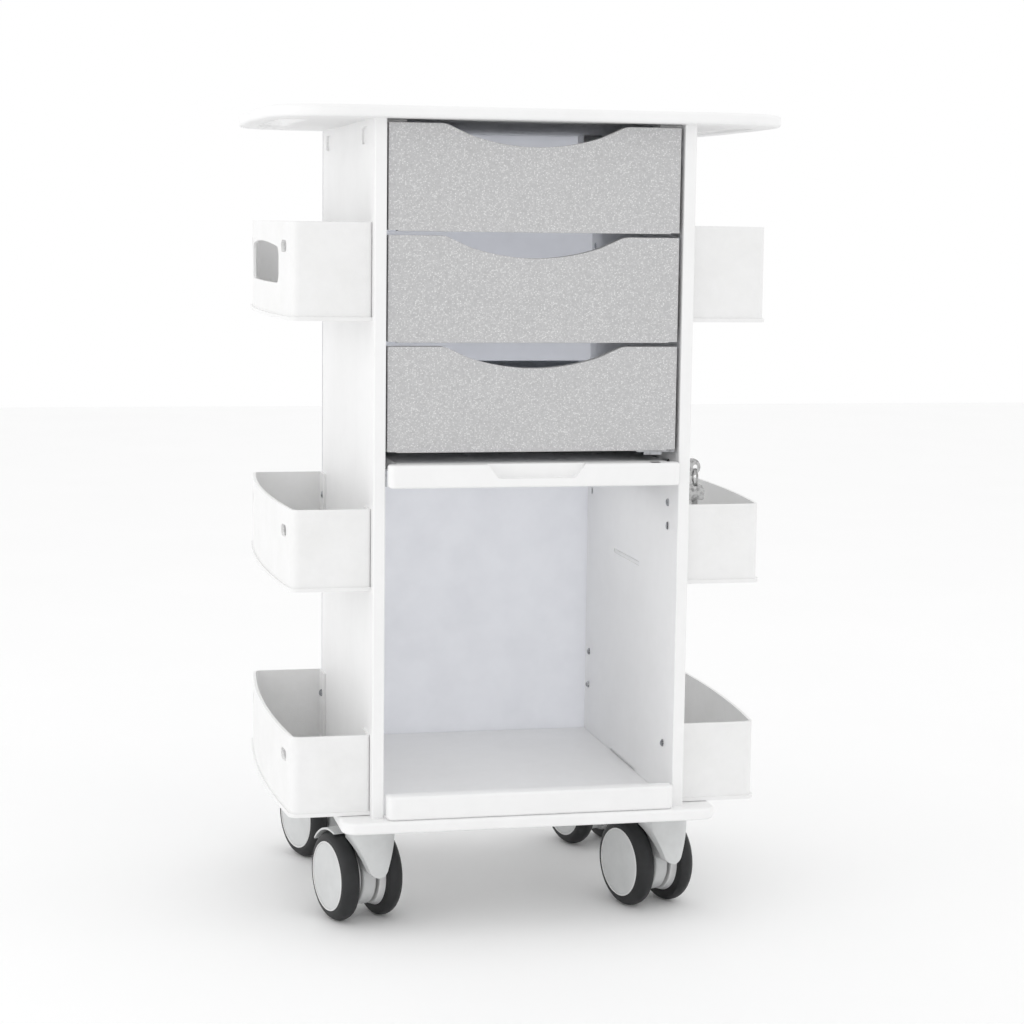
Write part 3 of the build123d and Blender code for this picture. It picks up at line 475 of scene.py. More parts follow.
@dataclass(frozen=True)
class RubberFinish:
    """Dark tyre rubber, dusty on its high spots and slightly uneven in gloss."""

    name: str
    colour: Colour
    dust_colour: Colour
    roughness: float

    def build(self) -> bpy.types.Material:
        """Writes the material's nodes.

        Returns:
            The finished material.
        """
        material = bpy.data.materials.new(self.name)
        material.use_nodes = True
        tree = material.node_tree
        tree.nodes.clear()

        coords = tree.nodes.new("ShaderNodeTexCoord")
        coords.label = "Place on the object"
        dust = tree.nodes.new("ShaderNodeTexNoise")
        dust.label = "Floor dust"
        dust.inputs["Scale"].default_value = 70.0
        dust.inputs["Detail"].default_value = 8.0
        dust.inputs["Roughness"].default_value = 0.65
        dust_range = tree.nodes.new("ShaderNodeMapRange")
        dust_range.label = "How much dust shows"
        dust_range.inputs["From Min"].default_value = 0.42
        dust_range.inputs["From Max"].default_value = 0.8
        dust_range.inputs["To Max"].default_value = 0.6
        tint = tree.nodes.new("ShaderNodeMix")
        tint.label = "Rubber and dust"
        tint.data_type = "RGBA"
        tint.inputs[6].default_value = rgba(self.colour)
        tint.inputs[7].default_value = rgba(self.dust_colour)
        gloss = tree.nodes.new("ShaderNodeMapRange")
        gloss.label = "Dust dulls the rubber"
        gloss.inputs["To Min"].default_value = self.roughness - 0.08
        gloss.inputs["To Max"].default_value = self.roughness + 0.14
        skin = tree.nodes.new("ShaderNodeTexNoise")
        skin.label = "Rubber skin"
        skin.inputs["Scale"].default_value = 1500.0
        skin.inputs["Detail"].default_value = 3.0
        relief = tree.nodes.new("ShaderNodeBump")
        relief.label = "Skin relief"
        relief.inputs["Strength"].default_value = 0.5
        relief.inputs["Distance"].default_value = 0.00008
        surface = tree.nodes.new("ShaderNodeBsdfPrincipled")
        surface.label = "Rubber"
        surface.inputs["IOR"].default_value = 1.5
        surface.inputs["Specular IOR Level"].default_value = 0.45
        output = tree.nodes.new("ShaderNodeOutputMaterial")
        output.label = "Surface"

        tree.links.new(coords.outputs["Object"], dust.inputs["Vector"])
        tree.links.new(coords.outputs["Object"], skin.inputs["Vector"])
        tree.links.new(dust.outputs["Fac"], dust_range.inputs["Value"])
        tree.links.new(dust_range.outputs["Result"], tint.inputs[0])
        tree.links.new(tint.outputs[2], surface.inputs["Base Color"])
        tree.links.new(dust.outputs["Fac"], gloss.inputs["Value"])
        tree.links.new(gloss.outputs["Result"], surface.inputs["Roughness"])
        tree.links.new(skin.outputs["Fac"], relief.inputs["Height"])
        tree.links.new(relief.outputs["Normal"], surface.inputs["Normal"])
        tree.links.new(surface.outputs["BSDF"], output.inputs["Surface"])

        gather(tree, "Dust", (dust, dust_range, tint, gloss))
        gather(tree, "Skin", (skin, relief))
        spread_out(
            tree.nodes,
            {
                "Place on the object": (0, 1),
                "Floor dust": (1, 0),
                "How much dust shows": (2, 0),
                "Rubber and dust": (3, 0),
                "Dust dulls the rubber": (2, 1),
                "Rubber skin": (1, 2),
                "Skin relief": (3, 2),
                "Rubber": (5, 1),
                "Surface": (6, 1),
            },
        )
        return material


@dataclass(frozen=True)
class PlatedFinish:
    """Plated or turned metal with drawing lines and small stains."""

    name: str
    colour: Colour
    stain_colour: Colour
    roughness: float
    line_depth: float

    def build(self) -> bpy.types.Material:
        """Writes the material's nodes.

        Returns:
            The finished material.
        """
        material = bpy.data.materials.new(self.name)
        material.use_nodes = True
        tree = material.node_tree
        tree.nodes.clear()

        coords = tree.nodes.new("ShaderNodeTexCoord")
        coords.label = "Place on the object"
        stains = tree.nodes.new("ShaderNodeTexNoise")
        stains.label = "Plating stains"
        stains.inputs["Scale"].default_value = 240.0
        stains.inputs["Detail"].default_value = 6.0
        stain_range = tree.nodes.new("ShaderNodeMapRange")
        stain_range.label = "Stain strength"
        stain_range.inputs["From Min"].default_value = 0.45
        stain_range.inputs["From Max"].default_value = 0.75
        tint = tree.nodes.new("ShaderNodeMix")
        tint.label = "Metal and stains"
        tint.data_type = "RGBA"
        tint.inputs[6].default_value = rgba(self.colour)
        tint.inputs[7].default_value = rgba(self.stain_colour)
        gloss = tree.nodes.new("ShaderNodeMapRange")
        gloss.label = "Stains are duller"
        gloss.inputs["To Min"].default_value = self.roughness
        gloss.inputs["To Max"].default_value = self.roughness + 0.16
        stretch = tree.nodes.new("ShaderNodeMapping")
        stretch.label = "Along the drawing direction"
        stretch.inputs["Scale"].default_value = (3000.0, 60.0, 3000.0)
        lines = tree.nodes.new("ShaderNodeTexNoise")
        lines.label = "Drawing lines"
        lines.inputs["Scale"].default_value = 1.0
        lines.inputs["Detail"].default_value = 2.0
        relief = tree.nodes.new("ShaderNodeBump")
        relief.label = "Line relief"
        relief.inputs["Strength"].default_value = 0.4
        relief.inputs["Distance"].default_value = self.line_depth
        surface = tree.nodes.new("ShaderNodeBsdfPrincipled")
        surface.label = "Metal"
        surface.inputs["Metallic"].default_value = 1.0
        output = tree.nodes.new("ShaderNodeOutputMaterial")
        output.label = "Surface"

        tree.links.new(coords.outputs["Object"], stains.inputs["Vector"])
        tree.links.new(coords.outputs["Object"], stretch.inputs["Vector"])
        tree.links.new(stains.outputs["Fac"], stain_range.inputs["Value"])
        tree.links.new(stain_range.outputs["Result"], tint.inputs[0])
        tree.links.new(tint.outputs[2], surface.inputs["Base Color"])
        tree.links.new(stains.outputs["Fac"], gloss.inputs["Value"])
        tree.links.new(gloss.outputs["Result"], surface.inputs["Roughness"])
        tree.links.new(stretch.outputs["Vector"], lines.inputs["Vector"])
        tree.links.new(lines.outputs["Fac"], relief.inputs["Height"])
        tree.links.new(relief.outputs["Normal"], surface.inputs["Normal"])
        tree.links.new(surface.outputs["BSDF"], output.inputs["Surface"])

        gather(tree, "Stains", (stains, stain_range, tint, gloss))
        gather(tree, "Drawing lines", (stretch, lines, relief))
        spread_out(
            tree.nodes,
            {
                "Place on the object": (0, 1),
                "Plating stains": (1, 0),
                "Stain strength": (2, 0),
                "Metal and stains": (3, 0),
                "Stains are duller": (2, 1),
                "Along the drawing direction": (1, 2),
                "Drawing lines": (2, 2),
                "Line relief": (3, 2),
                "Metal": (5, 1),
                "Surface": (6, 1),
            },
        )
        return material


def plastic_finishes() -> dict[Slot, PlasticFinish]:
    """The plastics of the trolley, which differ in colour, grain and gloss.

    Returns:
        A finish for each plastic slot.
    """
    return {
        Slot.SHEET: PlasticFinish(
            name="white_sheet_plastic",
            colour=(0.90, 0.90, 0.90),
            cloud_colour=(0.88, 0.88, 0.88),
            cloud_size=0.09,
            grain_size=0.7 * MM,
            grain_depth=0.05 * MM,
            peel_size=6.0 * MM,
            peel_depth=0.07 * MM,
            roughness=0.42,
        ),
        Slot.LINER: PlasticFinish(
            name="pale_liner_plastic",
            colour=(0.84, 0.84, 0.835),
            cloud_colour=(0.74, 0.74, 0.74),
            cloud_size=0.035,
            grain_size=0.9 * MM,
            grain_depth=0.06 * MM,
            peel_size=8.0 * MM,
            peel_depth=0.10 * MM,
            roughness=0.46,
            light_through=0.62,
            through_colour=(0.955, 0.965, 1.0),
        ),
        Slot.BIN: PlasticFinish(
            name="pebbled_bin_plastic",
            colour=(0.87, 0.87, 0.87),
            cloud_colour=(0.835, 0.835, 0.83),
            cloud_size=0.05,
            grain_size=1.2 * MM,
            grain_depth=0.22 * MM,
            peel_size=4.0 * MM,
            peel_depth=0.20 * MM,
            roughness=0.40,
        ),
        Slot.BOX: PlasticFinish(
            name="drawer_box_plastic",
            colour=(0.84, 0.86, 0.90),
            cloud_colour=(0.79, 0.81, 0.85),
            cloud_size=0.08,
            grain_size=0.8 * MM,
            grain_depth=0.06 * MM,
            peel_size=7.0 * MM,
            peel_depth=0.08 * MM,
            roughness=0.45,
        ),
        Slot.CASTER: PlasticFinish(
            name="caster_nylon",
            colour=(0.66, 0.67, 0.67),
            cloud_colour=(0.60, 0.61, 0.61),
            cloud_size=0.03,
            grain_size=0.6 * MM,
            grain_depth=0.05 * MM,
            peel_size=4.0 * MM,
            peel_depth=0.04 * MM,
            roughness=0.33,
        ),
        Slot.HUB: PlasticFinish(
            name="hub_nylon",
            colour=(0.80, 0.80, 0.80),
            cloud_colour=(0.75, 0.75, 0.75),
            cloud_size=0.03,
            grain_size=0.6 * MM,
            grain_depth=0.04 * MM,
            peel_size=4.0 * MM,
            peel_depth=0.04 * MM,
            roughness=0.30,
        ),
    }


def build_materials() -> dict[Slot, bpy.types.Material]:
    """Builds every finish once.

    Returns:
        The material of each slot.
    """
    materials = {slot: finish.build() for slot, finish in plastic_finishes().items()}
    materials[Slot.FRONT] = FleckedFinish(
        name="silver_flecked_laminate",
        colour=(0.55, 0.55, 0.555),
        deep_colour=(0.45, 0.45, 0.455),
        fleck_colour=(0.76, 0.76, 0.76),
        fine_fleck=1.6 * MM,
        coarse_fleck=3.0 * MM,
        roughness=0.42,
    ).build()
    materials[Slot.TYRE] = RubberFinish(
        name="tyre_rubber",
        colour=(0.009, 0.0095, 0.0105),
        dust_colour=(0.028, 0.029, 0.031),
        roughness=0.50,
    ).build()
    materials[Slot.ZINC] = PlatedFinish(
        name="zinc_plate",
        colour=(0.46, 0.47, 0.49),
        stain_colour=(0.26, 0.26, 0.26),
        roughness=0.28,
        line_depth=0.03 * MM,
    ).build()
    materials[Slot.NICKEL] = PlatedFinish(
        name="nickel_plate",
        colour=(0.50, 0.50, 0.50),
        stain_colour=(0.16, 0.16, 0.16),
        roughness=0.14,
        line_depth=0.01 * MM,
    ).build()
    materials[Slot.AXLE] = PlatedFinish(
        name="turned_steel",
        colour=(0.52, 0.53, 0.55),
        stain_colour=(0.42, 0.42, 0.42),
        roughness=0.25,
        line_depth=0.02 * MM,
    ).build()
    return materials


# ---------------------------------------------------------------------------------------- mesh tools
def new_object(name: str, mesh: bpy.types.Mesh) -> bpy.types.Object:
    """Links a mesh to the scene as an object at the origin.

    Args:
        name: The piece's name.
        mesh: Its mesh, already in place.

    Returns:
        The new object.
    """
    piece = bpy.data.objects.new(name, mesh)
    bpy.context.scene.collection.objects.link(piece)
    return piece


def settle(piece: bpy.types.Object) -> None:
    """Turns a piece's modifiers into its mesh.

    Args:
        piece: An object with live modifiers.
    """
    graph = bpy.context.evaluated_depsgraph_get()
    shaped = piece.evaluated_get(graph)
    mesh = bpy.data.meshes.new_from_object(shaped, preserve_all_data_layers=True, depsgraph=graph)
    piece.modifiers.clear()
    piece.data = mesh


def dress(piece: bpy.types.Object, material: bpy.types.Material) -> None:
    """Gives the whole piece one material.

    Args:
        piece: A mesh object.
        material: What it is made of.
    """
    if not piece.material_slots:
        piece.data.materials.append(material)
    for slot in piece.material_slots:
        slot.material = material


def merged_copy(node: str, name: str) -> bpy.types.Object:
    """Copies a CAD node as one welded mesh with whole flat faces.

    Args:
        node: The CAD node.
        name: The copy's name.

    Returns:
        The copy, which rides on nothing yet.
    """
    mesh = frame["nodes"][node].data.copy()
    mesh.name = name
    form = bmesh.new()
    form.from_mesh(mesh)
    bmesh.ops.remove_doubles(form, verts=form.verts, dist=WELD)
    bmesh.ops.dissolve_limit(form, angle_limit=math.radians(0.4), verts=form.verts, edges=form.edges)
    form.to_mesh(mesh)
    form.free()
    if "custom_normal" in mesh.attributes:
        mesh.attributes.remove(mesh.attributes["custom_normal"])
    return new_object(name, mesh)


def soften(piece: bpy.types.Object, width: float, segments: int = 3, angle: float = 38.0) -> None:
    """Rounds a piece's sharp edges.

    Args:
        piece: A welded mesh object.
        width: Size of the rounding in metres.
        segments: Faces across a rounding.
        angle: Edges that turn more than this many degrees are rounded.
    """
    bevel = piece.modifiers.new("rounded edges", "BEVEL")
    bevel.width = width
    bevel.segments = segments
    bevel.limit_method = "ANGLE"
    bevel.angle_limit = math.radians(angle)
    bevel.miter_outer = "MITER_ARC"
    bevel.harden_normals = True
    piece.data.shade_smooth()
    settle(piece)


def lathe(
    name: str, profile: Sequence[tuple[float, float]], centre: Vector, axis: Vector, steps: int
) -> bpy.types.Object:
    """Turns a profile about an axis.

    Args:
        name: The piece's name.
        profile: Points as (distance along the axis, radius), from one end to the other.
        centre: The point on the axis that distances are counted from.
        axis: Direction of the axis.
        steps: Faces round the axis.

    Returns:
        The turned piece.
    """
    along = axis.normalized()
    across = along.orthogonal().normalized()
    up = along.cross(across)
    form = bmesh.new()
    rings = []
    for distance, radius in profile:
        base = centre + along * distance
        if radius < WELD:
            rings.append([form.verts.new(base)])
            continue
        ring = []
        for step in range(steps):
            turn = math.tau * step / steps
            ring.append(form.verts.new(base + (across * math.cos(turn) + up * math.sin(turn)) * radius))
        rings.append(ring)
    for first, second in zip(rings, rings[1:]):
        for step in range(steps):
            after = (step + 1) % steps
            corners = [
                first[step % len(first)],
                first[after % len(first)],
                second[after % len(second)],
                second[step % len(second)],
            ]
            form.faces.new(dict.fromkeys(corners))
    bmesh.ops.remove_doubles(form, verts=form.verts, dist=WELD / 4)
    bmesh.ops.recalc_face_normals(form, faces=form.faces)
    mesh = bpy.data.meshes.new(name)
    form.to_mesh(mesh)
    form.free()
    mesh.shade_smooth()
    mesh.set_sharp_from_angle(angle=math.radians(40))
    return new_object(name, mesh)


def arc(
    centre: tuple[float, float], radius: float, start: float, end: float, steps: int
) -> list[tuple[float, float]]:
    """Points on a round stretch of a profile.

    Args:
        centre: The arc's centre.
        radius: Its radius.
        start: First angle in degrees.
        end: Last angle in degrees.
        steps: Number of faces along it.

    Returns:
        The points from start to end.
    """
    turns = [math.radians(start + (end - start) * step / steps) for step in range(steps + 1)]
    return [(centre[0] + radius * math.cos(turn), centre[1] + radius * math.sin(turn)) for turn in turns]


def joint(name: str) -> dict:
    """The frame's joint of that name."""
    return next(entry for entry in frame["joints"] if entry["name"] == name)


# ---------------------------------------------------------------------------------------- geometry nodes
def fastener_tree() -> bpy.types.GeometryNodeTree:
    """Builds the tree that puts one fastener at each vertex of a mesh.

    Returns:
        A tree with the inputs Places, Fastener, Size and Finish.
    """
    tree = bpy.data.node_groups.new("fastener_at_each_place", "GeometryNodeTree")
    tree.interface.new_socket(name="Places", in_out="INPUT", socket_type="NodeSocketGeometry")
    tree.interface.new_socket(name="Fastener", in_out="INPUT", socket_type="NodeSocketObject")
    tree.interface.new_socket(name="Size", in_out="INPUT", socket_type="NodeSocketFloat")
    tree.interface.new_socket(name="Finish", in_out="INPUT", socket_type="NodeSocketMaterial")
    tree.interface.new_socket(name="Geometry", in_out="OUTPUT", socket_type="NodeSocketGeometry")
    inputs = tree.nodes.new("NodeGroupInput")
    inputs.label = "Places, fastener, size, finish"
    fastener = tree.nodes.new("GeometryNodeObjectInfo")
    fastener.label = "The fastener's shape"
    turn = tree.nodes.new("GeometryNodeInputNamedAttribute")
    turn.label = "Which way each one faces"
    turn.data_type = "FLOAT_VECTOR"
    turn.inputs["Name"].default_value = "turn"
    put = tree.nodes.new("GeometryNodeInstanceOnPoints")
    put.label = "One at each place"
    real = tree.nodes.new("GeometryNodeRealizeInstances")
    real.label = "As real mesh"
    finish = tree.nodes.new("GeometryNodeSetMaterial")
    finish.label = "Plated"
    output = tree.nodes.new("NodeGroupOutput")
    output.label = "Fasteners"
    tree.links.new(inputs.outputs["Places"], put.inputs["Points"])
    tree.links.new(inputs.outputs["Fastener"], fastener.inputs["Object"])
    tree.links.new(fastener.outputs["Geometry"], put.inputs["Instance"])
    tree.links.new(turn.outputs["Attribute"], put.inputs["Rotation"])
    tree.links.new(inputs.outputs["Size"], put.inputs["Scale"])
    tree.links.new(put.outputs["Instances"], real.inputs["Geometry"])
    tree.links.new(real.outputs["Geometry"], finish.inputs["Geometry"])
    tree.links.new(inputs.outputs["Finish"], finish.inputs["Material"])
    tree.links.new(finish.outputs["Geometry"], output.inputs["Geometry"])
    for column, node in enumerate((inputs, fastener, turn, put, real, finish, output)):
        node.location = (column * 220.0, 0.0)
    return tree


def ring_tree() -> bpy.types.GeometryNodeTree:
    """Builds the tree that coils a wire into a split ring.

    Returns:
        A tree with the inputs Turns, Ring Radius, Coil Height, Wire Radius, Centre and Finish.
    """
    tree = bpy.data.node_groups.new("coiled_wire", "GeometryNodeTree")
    tree.interface.new_socket(name="Geometry", in_out="INPUT", socket_type="NodeSocketGeometry")
    tree.interface.new_socket(name="Turns", in_out="INPUT", socket_type="NodeSocketFloat")
    tree.interface.new_socket(name="Ring Radius", in_out="INPUT", socket_type="NodeSocketFloat")
    tree.interface.new_socket(name="Coil Height", in_out="INPUT", socket_type="NodeSocketFloat")
    tree.interface.new_socket(name="Wire Radius", in_out="INPUT", socket_type="NodeSocketFloat")
    tree.interface.new_socket(name="Centre", in_out="INPUT", socket_type="NodeSocketVector")
    tree.interface.new_socket(name="Finish", in_out="INPUT", socket_type="NodeSocketMaterial")
    tree.interface.new_socket(name="Geometry", in_out="OUTPUT", socket_type="NodeSocketGeometry")
    inputs = tree.nodes.new("NodeGroupInput")
    inputs.label = "Sizes of the ring"
    coil = tree.nodes.new("GeometryNodeCurveSpiral")
    coil.label = "Coiled line"
    coil.inputs["Resolution"].default_value = 64
    wire = tree.nodes.new("GeometryNodeCurvePrimitiveCircle")
    wire.label = "Round wire"
    wire.inputs["Resolution"].default_value = 14
    sweep = tree.nodes.new("GeometryNodeCurveToMesh")
    sweep.label = "Wire along the coil"
    sweep.inputs["Fill Caps"].default_value = True
    place = tree.nodes.new("GeometryNodeTransform")
    place.label = "Upright, in the key's hole"
    place.inputs["Rotation"].default_value = (0.0, math.radians(90), 0.0)
    smooth = tree.nodes.new("GeometryNodeSetShadeSmooth")
    smooth.label = "Smooth wire"
    real = tree.nodes.new("GeometryNodeRealizeInstances")
    real.label = "As real mesh"
    finish = tree.nodes.new("GeometryNodeSetMaterial")
    finish.label = "Plated"
    output = tree.nodes.new("NodeGroupOutput")
    output.label = "Ring"
    tree.links.new(inputs.outputs["Turns"], coil.inputs["Rotations"])
    tree.links.new(inputs.outputs["Ring Radius"], coil.inputs["Start Radius"])
    tree.links.new(inputs.outputs["Ring Radius"], coil.inputs["End Radius"])
    tree.links.new(inputs.outputs["Coil Height"], coil.inputs["Height"])
    tree.links.new(inputs.outputs["Wire Radius"], wire.inputs["Radius"])
    tree.links.new(coil.outputs["Curve"], sweep.inputs["Curve"])
    tree.links.new(wire.outputs["Curve"], sweep.inputs["Profile Curve"])
    tree.links.new(sweep.outputs["Mesh"], place.inputs["Geometry"])
    tree.links.new(inputs.outputs["Centre"], place.inputs["Translation"])
    tree.links.new(place.outputs["Geometry"], smooth.inputs["Geometry"])
    tree.links.new(smooth.outputs["Geometry"], real.inputs["Geometry"])
    tree.links.new(real.outputs["Geometry"], finish.inputs["Geometry"])
    tree.links.new(inputs.outputs["Finish"], finish.inputs["Material"])
    tree.links.new(finish.outputs["Geometry"], output.inputs["Geometry"])
    for column, node in enumerate((inputs, coil, wire, sweep, place, smooth, real, finish, output)):
        node.location = (column * 220.0, 0.0)
    return tree


def run_tree(
    piece: bpy.types.Object, tree: bpy.types.GeometryNodeTree, values: dict[str, object]
) -> None:
    """Runs a tree on a piece with its inputs set, and keeps the resulting mesh.

    Args:
        piece: The object that the tree works on.
        tree: The geometry node tree.
        values: The tree's inputs by name.
    """
    modifier = piece.modifiers.new(tree.name, "NODES")
    modifier.node_group = tree
    for item in tree.interface.items_tree:
        if item.item_type == "SOCKET" and item.in_out == "INPUT" and item.name in values:
            modifier[item.identifier] = values[item.name]
    piece.update_tag()
    bpy.context.view_layer.update()
    settle(piece)


@dataclass
class FastenerSet:
    """Equal fasteners at many places on one body."""

    name: str
    body: str
    places: list[Vector] = field(default_factory=list)
    turns: list[tuple[float, float, float]] = field(default_factory=list)

    def add(self, place: Vector, turn: tuple[float, float, float]) -> None:
        """Adds a fastener at a place, turned by Euler angles."""
        self.places.append(place)
        self.turns.append(turn)

    def build(
        self, tree: bpy.types.GeometryNodeTree, shape: bpy.types.Object, material: bpy.types.Material
    ) -> bpy.types.Object:
        """Puts the shape at every place.

        Args:
            tree: The tree from fastener_tree.
            shape: The fastener, whose axis is +Z.
            material: Its finish.

        Returns:
            One mesh object that rides on the body.
        """
        mesh = bpy.data.meshes.new(self.name)
        mesh.from_pydata(self.places, [], [])
        turn = mesh.attributes.new("turn", "FLOAT_VECTOR", "POINT")
        turn.data.foreach_set("vector", [angle for angles in self.turns for angle in angles])
        piece = new_object(self.name, mesh)
        run_tree(piece, tree, {"Fastener": shape, "Size": 1.0, "Finish": material})
        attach(piece, self.body)
        return piece


# ---------------------------------------------------------------------------------------- sub-assemblies
@dataclass
class Carcass:
    """Worktop, side panels, base board, pocket caps and back panel, which keep their CAD shapes."""

    slots: dict[str, Slot] = field(
        default_factory=lambda: {
            "worktop": Slot.SHEET,
            "side_panel_left": Slot.SHEET,
            "side_panel_right": Slot.SHEET,
            "base_board": Slot.SHEET,
            "pocket_caps": Slot.SHEET,
            "back_panel": Slot.LINER,
        }
    )

    def build(self, materials: dict[Slot, bpy.types.Material]) -> None:
        """Dresses each piece of the carcass.

        Args:
            materials: The material of each slot.
        """
        for node, slot in self.slots.items():
            dress(frame["nodes"][node], materials[slot])
            LOG.info("dressed %s in %s", node, slot.value)


@dataclass
class RoundedCopies:
    """Pieces whose CAD edges are sharp, remade with their edges broken as moulding leaves them."""

    edge: float
    segments: int
    nodes: dict[str, Slot]
    suffix: str = "moulded"

    def build(self, materials: dict[Slot, bpy.types.Material]) -> None:
        """Makes, dresses and places each copy.

        Args:
            materials: The material of each slot.
        """
        for node, slot in self.nodes.items():
            piece = merged_copy(node, f"{node}_{self.suffix}")
            soften(piece, self.edge, self.segments)
            dress(piece, materials[slot])
            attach(piece, frame["nodes"][node]["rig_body"])
            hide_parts(node)
            LOG.info("made %s from %s, %d faces", piece.name, node, len(piece.data.polygons))


@dataclass
class Wheel:
    """One wheel of a caster: tyre, hub with its bright rim, and a flat face inset in the rim."""

    body: str
    hub_node: str
    tyre_node: str
    outward: float
    wheel_radius: float = 50.0 * MM
    hub_radius: float = 38.0 * MM
    rim_radius: float = 38.6 * MM
    rim_width: float = 1.7 * MM
    tyre_inner: float = 18.0 * MM
    tyre_outer: float = 36.0 * MM
    tread_middle: float = 25.2 * MM
    tread_curve: float = 11.5 * MM
    steps: int = 112

    def build(self, materials: dict[Slot, bpy.types.Material]) -> None:
        """Makes the wheel's three pieces.

        Args:
            materials: The material of each slot.
        """
        spin = joint(f"{self.body}_spin")
        centre = Vector(spin["pos_m"])
        axis = Vector(spin["axis"]) * self.outward
        tyre = lathe(f"{self.body}_tyre", self.tyre_profile(), centre, axis, self.steps)
        dress(tyre, materials[Slot.TYRE])
        hub = lathe(f"{self.body}_hub", self.hub_profile(), centre, axis, self.steps)
        dress(hub, materials[Slot.HUB])
        face = lathe(f"{self.body}_face", self.face_profile(), centre, axis, self.steps)
        dress(face, materials[Slot.CASTER])
        for piece, slot in ((tyre, Slot.TYRE), (hub, Slot.HUB), (face, Slot.CASTER)):
            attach(piece, self.body)
            LOG.info("made %s", piece.name)
        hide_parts(self.tyre_node)
        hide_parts(self.hub_node)

    def tyre_profile(self) -> list[tuple[float, float]]:
        """Closed section of the tyre: a round tread between two flat walls.

        Returns:
            Points as (distance outwards, radius).
        """
        centre = (self.tread_middle, self.wheel_radius - self.tread_curve)
        start = math.degrees(math.acos((self.tyre_inner - self.tread_middle) / self.tread_curve))
        end = math.degrees(math.acos((self.tyre_outer - self.tread_middle) / self.tread_curve))
        tread = arc(centre, self.tread_curve, start, end, 26)
        lip = 0.7 * MM
        inner_wall = (self.tyre_inner, self.hub_radius - lip)
        outer_wall = (self.tyre_outer, self.hub_radius - lip)
        return [inner_wall, *tread, outer_wall, inner_wall]

    def hub_profile(self) -> list[tuple[float, float]]:
        """Section of the hub from its bore, over the inner flange and the drum, to the rim.

        Returns:
            Points as (distance outwards, radius).
        """
        bore = 4.05 * MM
        flange = 36.0 * MM
        inner = 11.5 * MM
        rim_x = self.tyre_outer + 0.9 * MM
        inset = self.rim_radius - self.rim_width
        return [
            (34.5 * MM, 0.0),
            (34.5 * MM, bore),
            (inner, bore),
            (inner, 9.0 * MM),
            (inner + 1.2 * MM, 10.0 * MM),
            (inner + 1.2 * MM, 27.0 * MM),
            (inner, 28.5 * MM),
            *arc((inner + 1.0 * MM, flange - 1.0 * MM), 1.0 * MM, 180, 90, 4),
            (self.tyre_inner, self.hub_radius),
            (self.tyre_outer, self.hub_radius),
            *arc((rim_x - 0.8 * MM, self.rim_radius - 0.4 * MM), 0.4 * MM, 90, 45, 3),
            *arc((rim_x - 0.6 * MM, self.rim_radius - 0.8 * MM), 0.6 * MM, 45, 0, 3),
            (rim_x, inset + 0.4 * MM),
            (rim_x - 0.5 * MM, inset),
            (self.tyre_outer - 0.6 * MM, inset),
            (self.tyre_outer - 0.6 * MM, 0.0),
        ]

    def face_profile(self) -> list[tuple[float, float]]:
        """Section of the flat disc that closes the hub, very slightly domed.

        Returns:
            Points as (distance outwards, radius).
        """
        back = self.tyre_outer - 0.55 * MM
        rim = self.rim_radius - self.rim_width - 0.15 * MM
        front = self.tyre_outer + 0.25 * MM
        rise = 0.6 * MM
        shares = [step / 8 for step in range(7, -1, -1)]
        dome = [(front + rise * (1 - share**2), rim * share) for share in shares]
        return [(back, 0.0), (back, rim), (front - 0.3 * MM, rim), (front, rim - 0.5 * MM), *dome]


@dataclass
class Casters:
    """The four twin-wheel casters."""

    names: tuple[str, ...] = ("front_left", "front_right", "rear_left", "rear_right")

    def build(self, materials: dict[Slot, bpy.types.Material]) -> None:
        """Makes the wheels and hoods of every caster.

        Args:
            materials: The material of each slot.
        """
        for name in self.names:
            body = f"caster_{name}"
            for hand, outward in (("left", -1.0), ("right", 1.0)):
                Wheel(
                    body=f"{body}_wheel_{hand}",
                    hub_node=f"{body}_hub_{hand}",
                    tyre_node=f"{body}_tyre_{hand}",
                    outward=outward,
                ).build(materials)
            dress(frame["nodes"][f"{body}_axle"], materials[Slot.AXLE])
        hoods = {f"caster_{name}_hood": Slot.CASTER for name in self.names}
        RoundedCopies(0.9 * MM, 3, hoods).build(materials)
        dress(frame["nodes"]["caster_stems"], materials[Slot.ZINC])


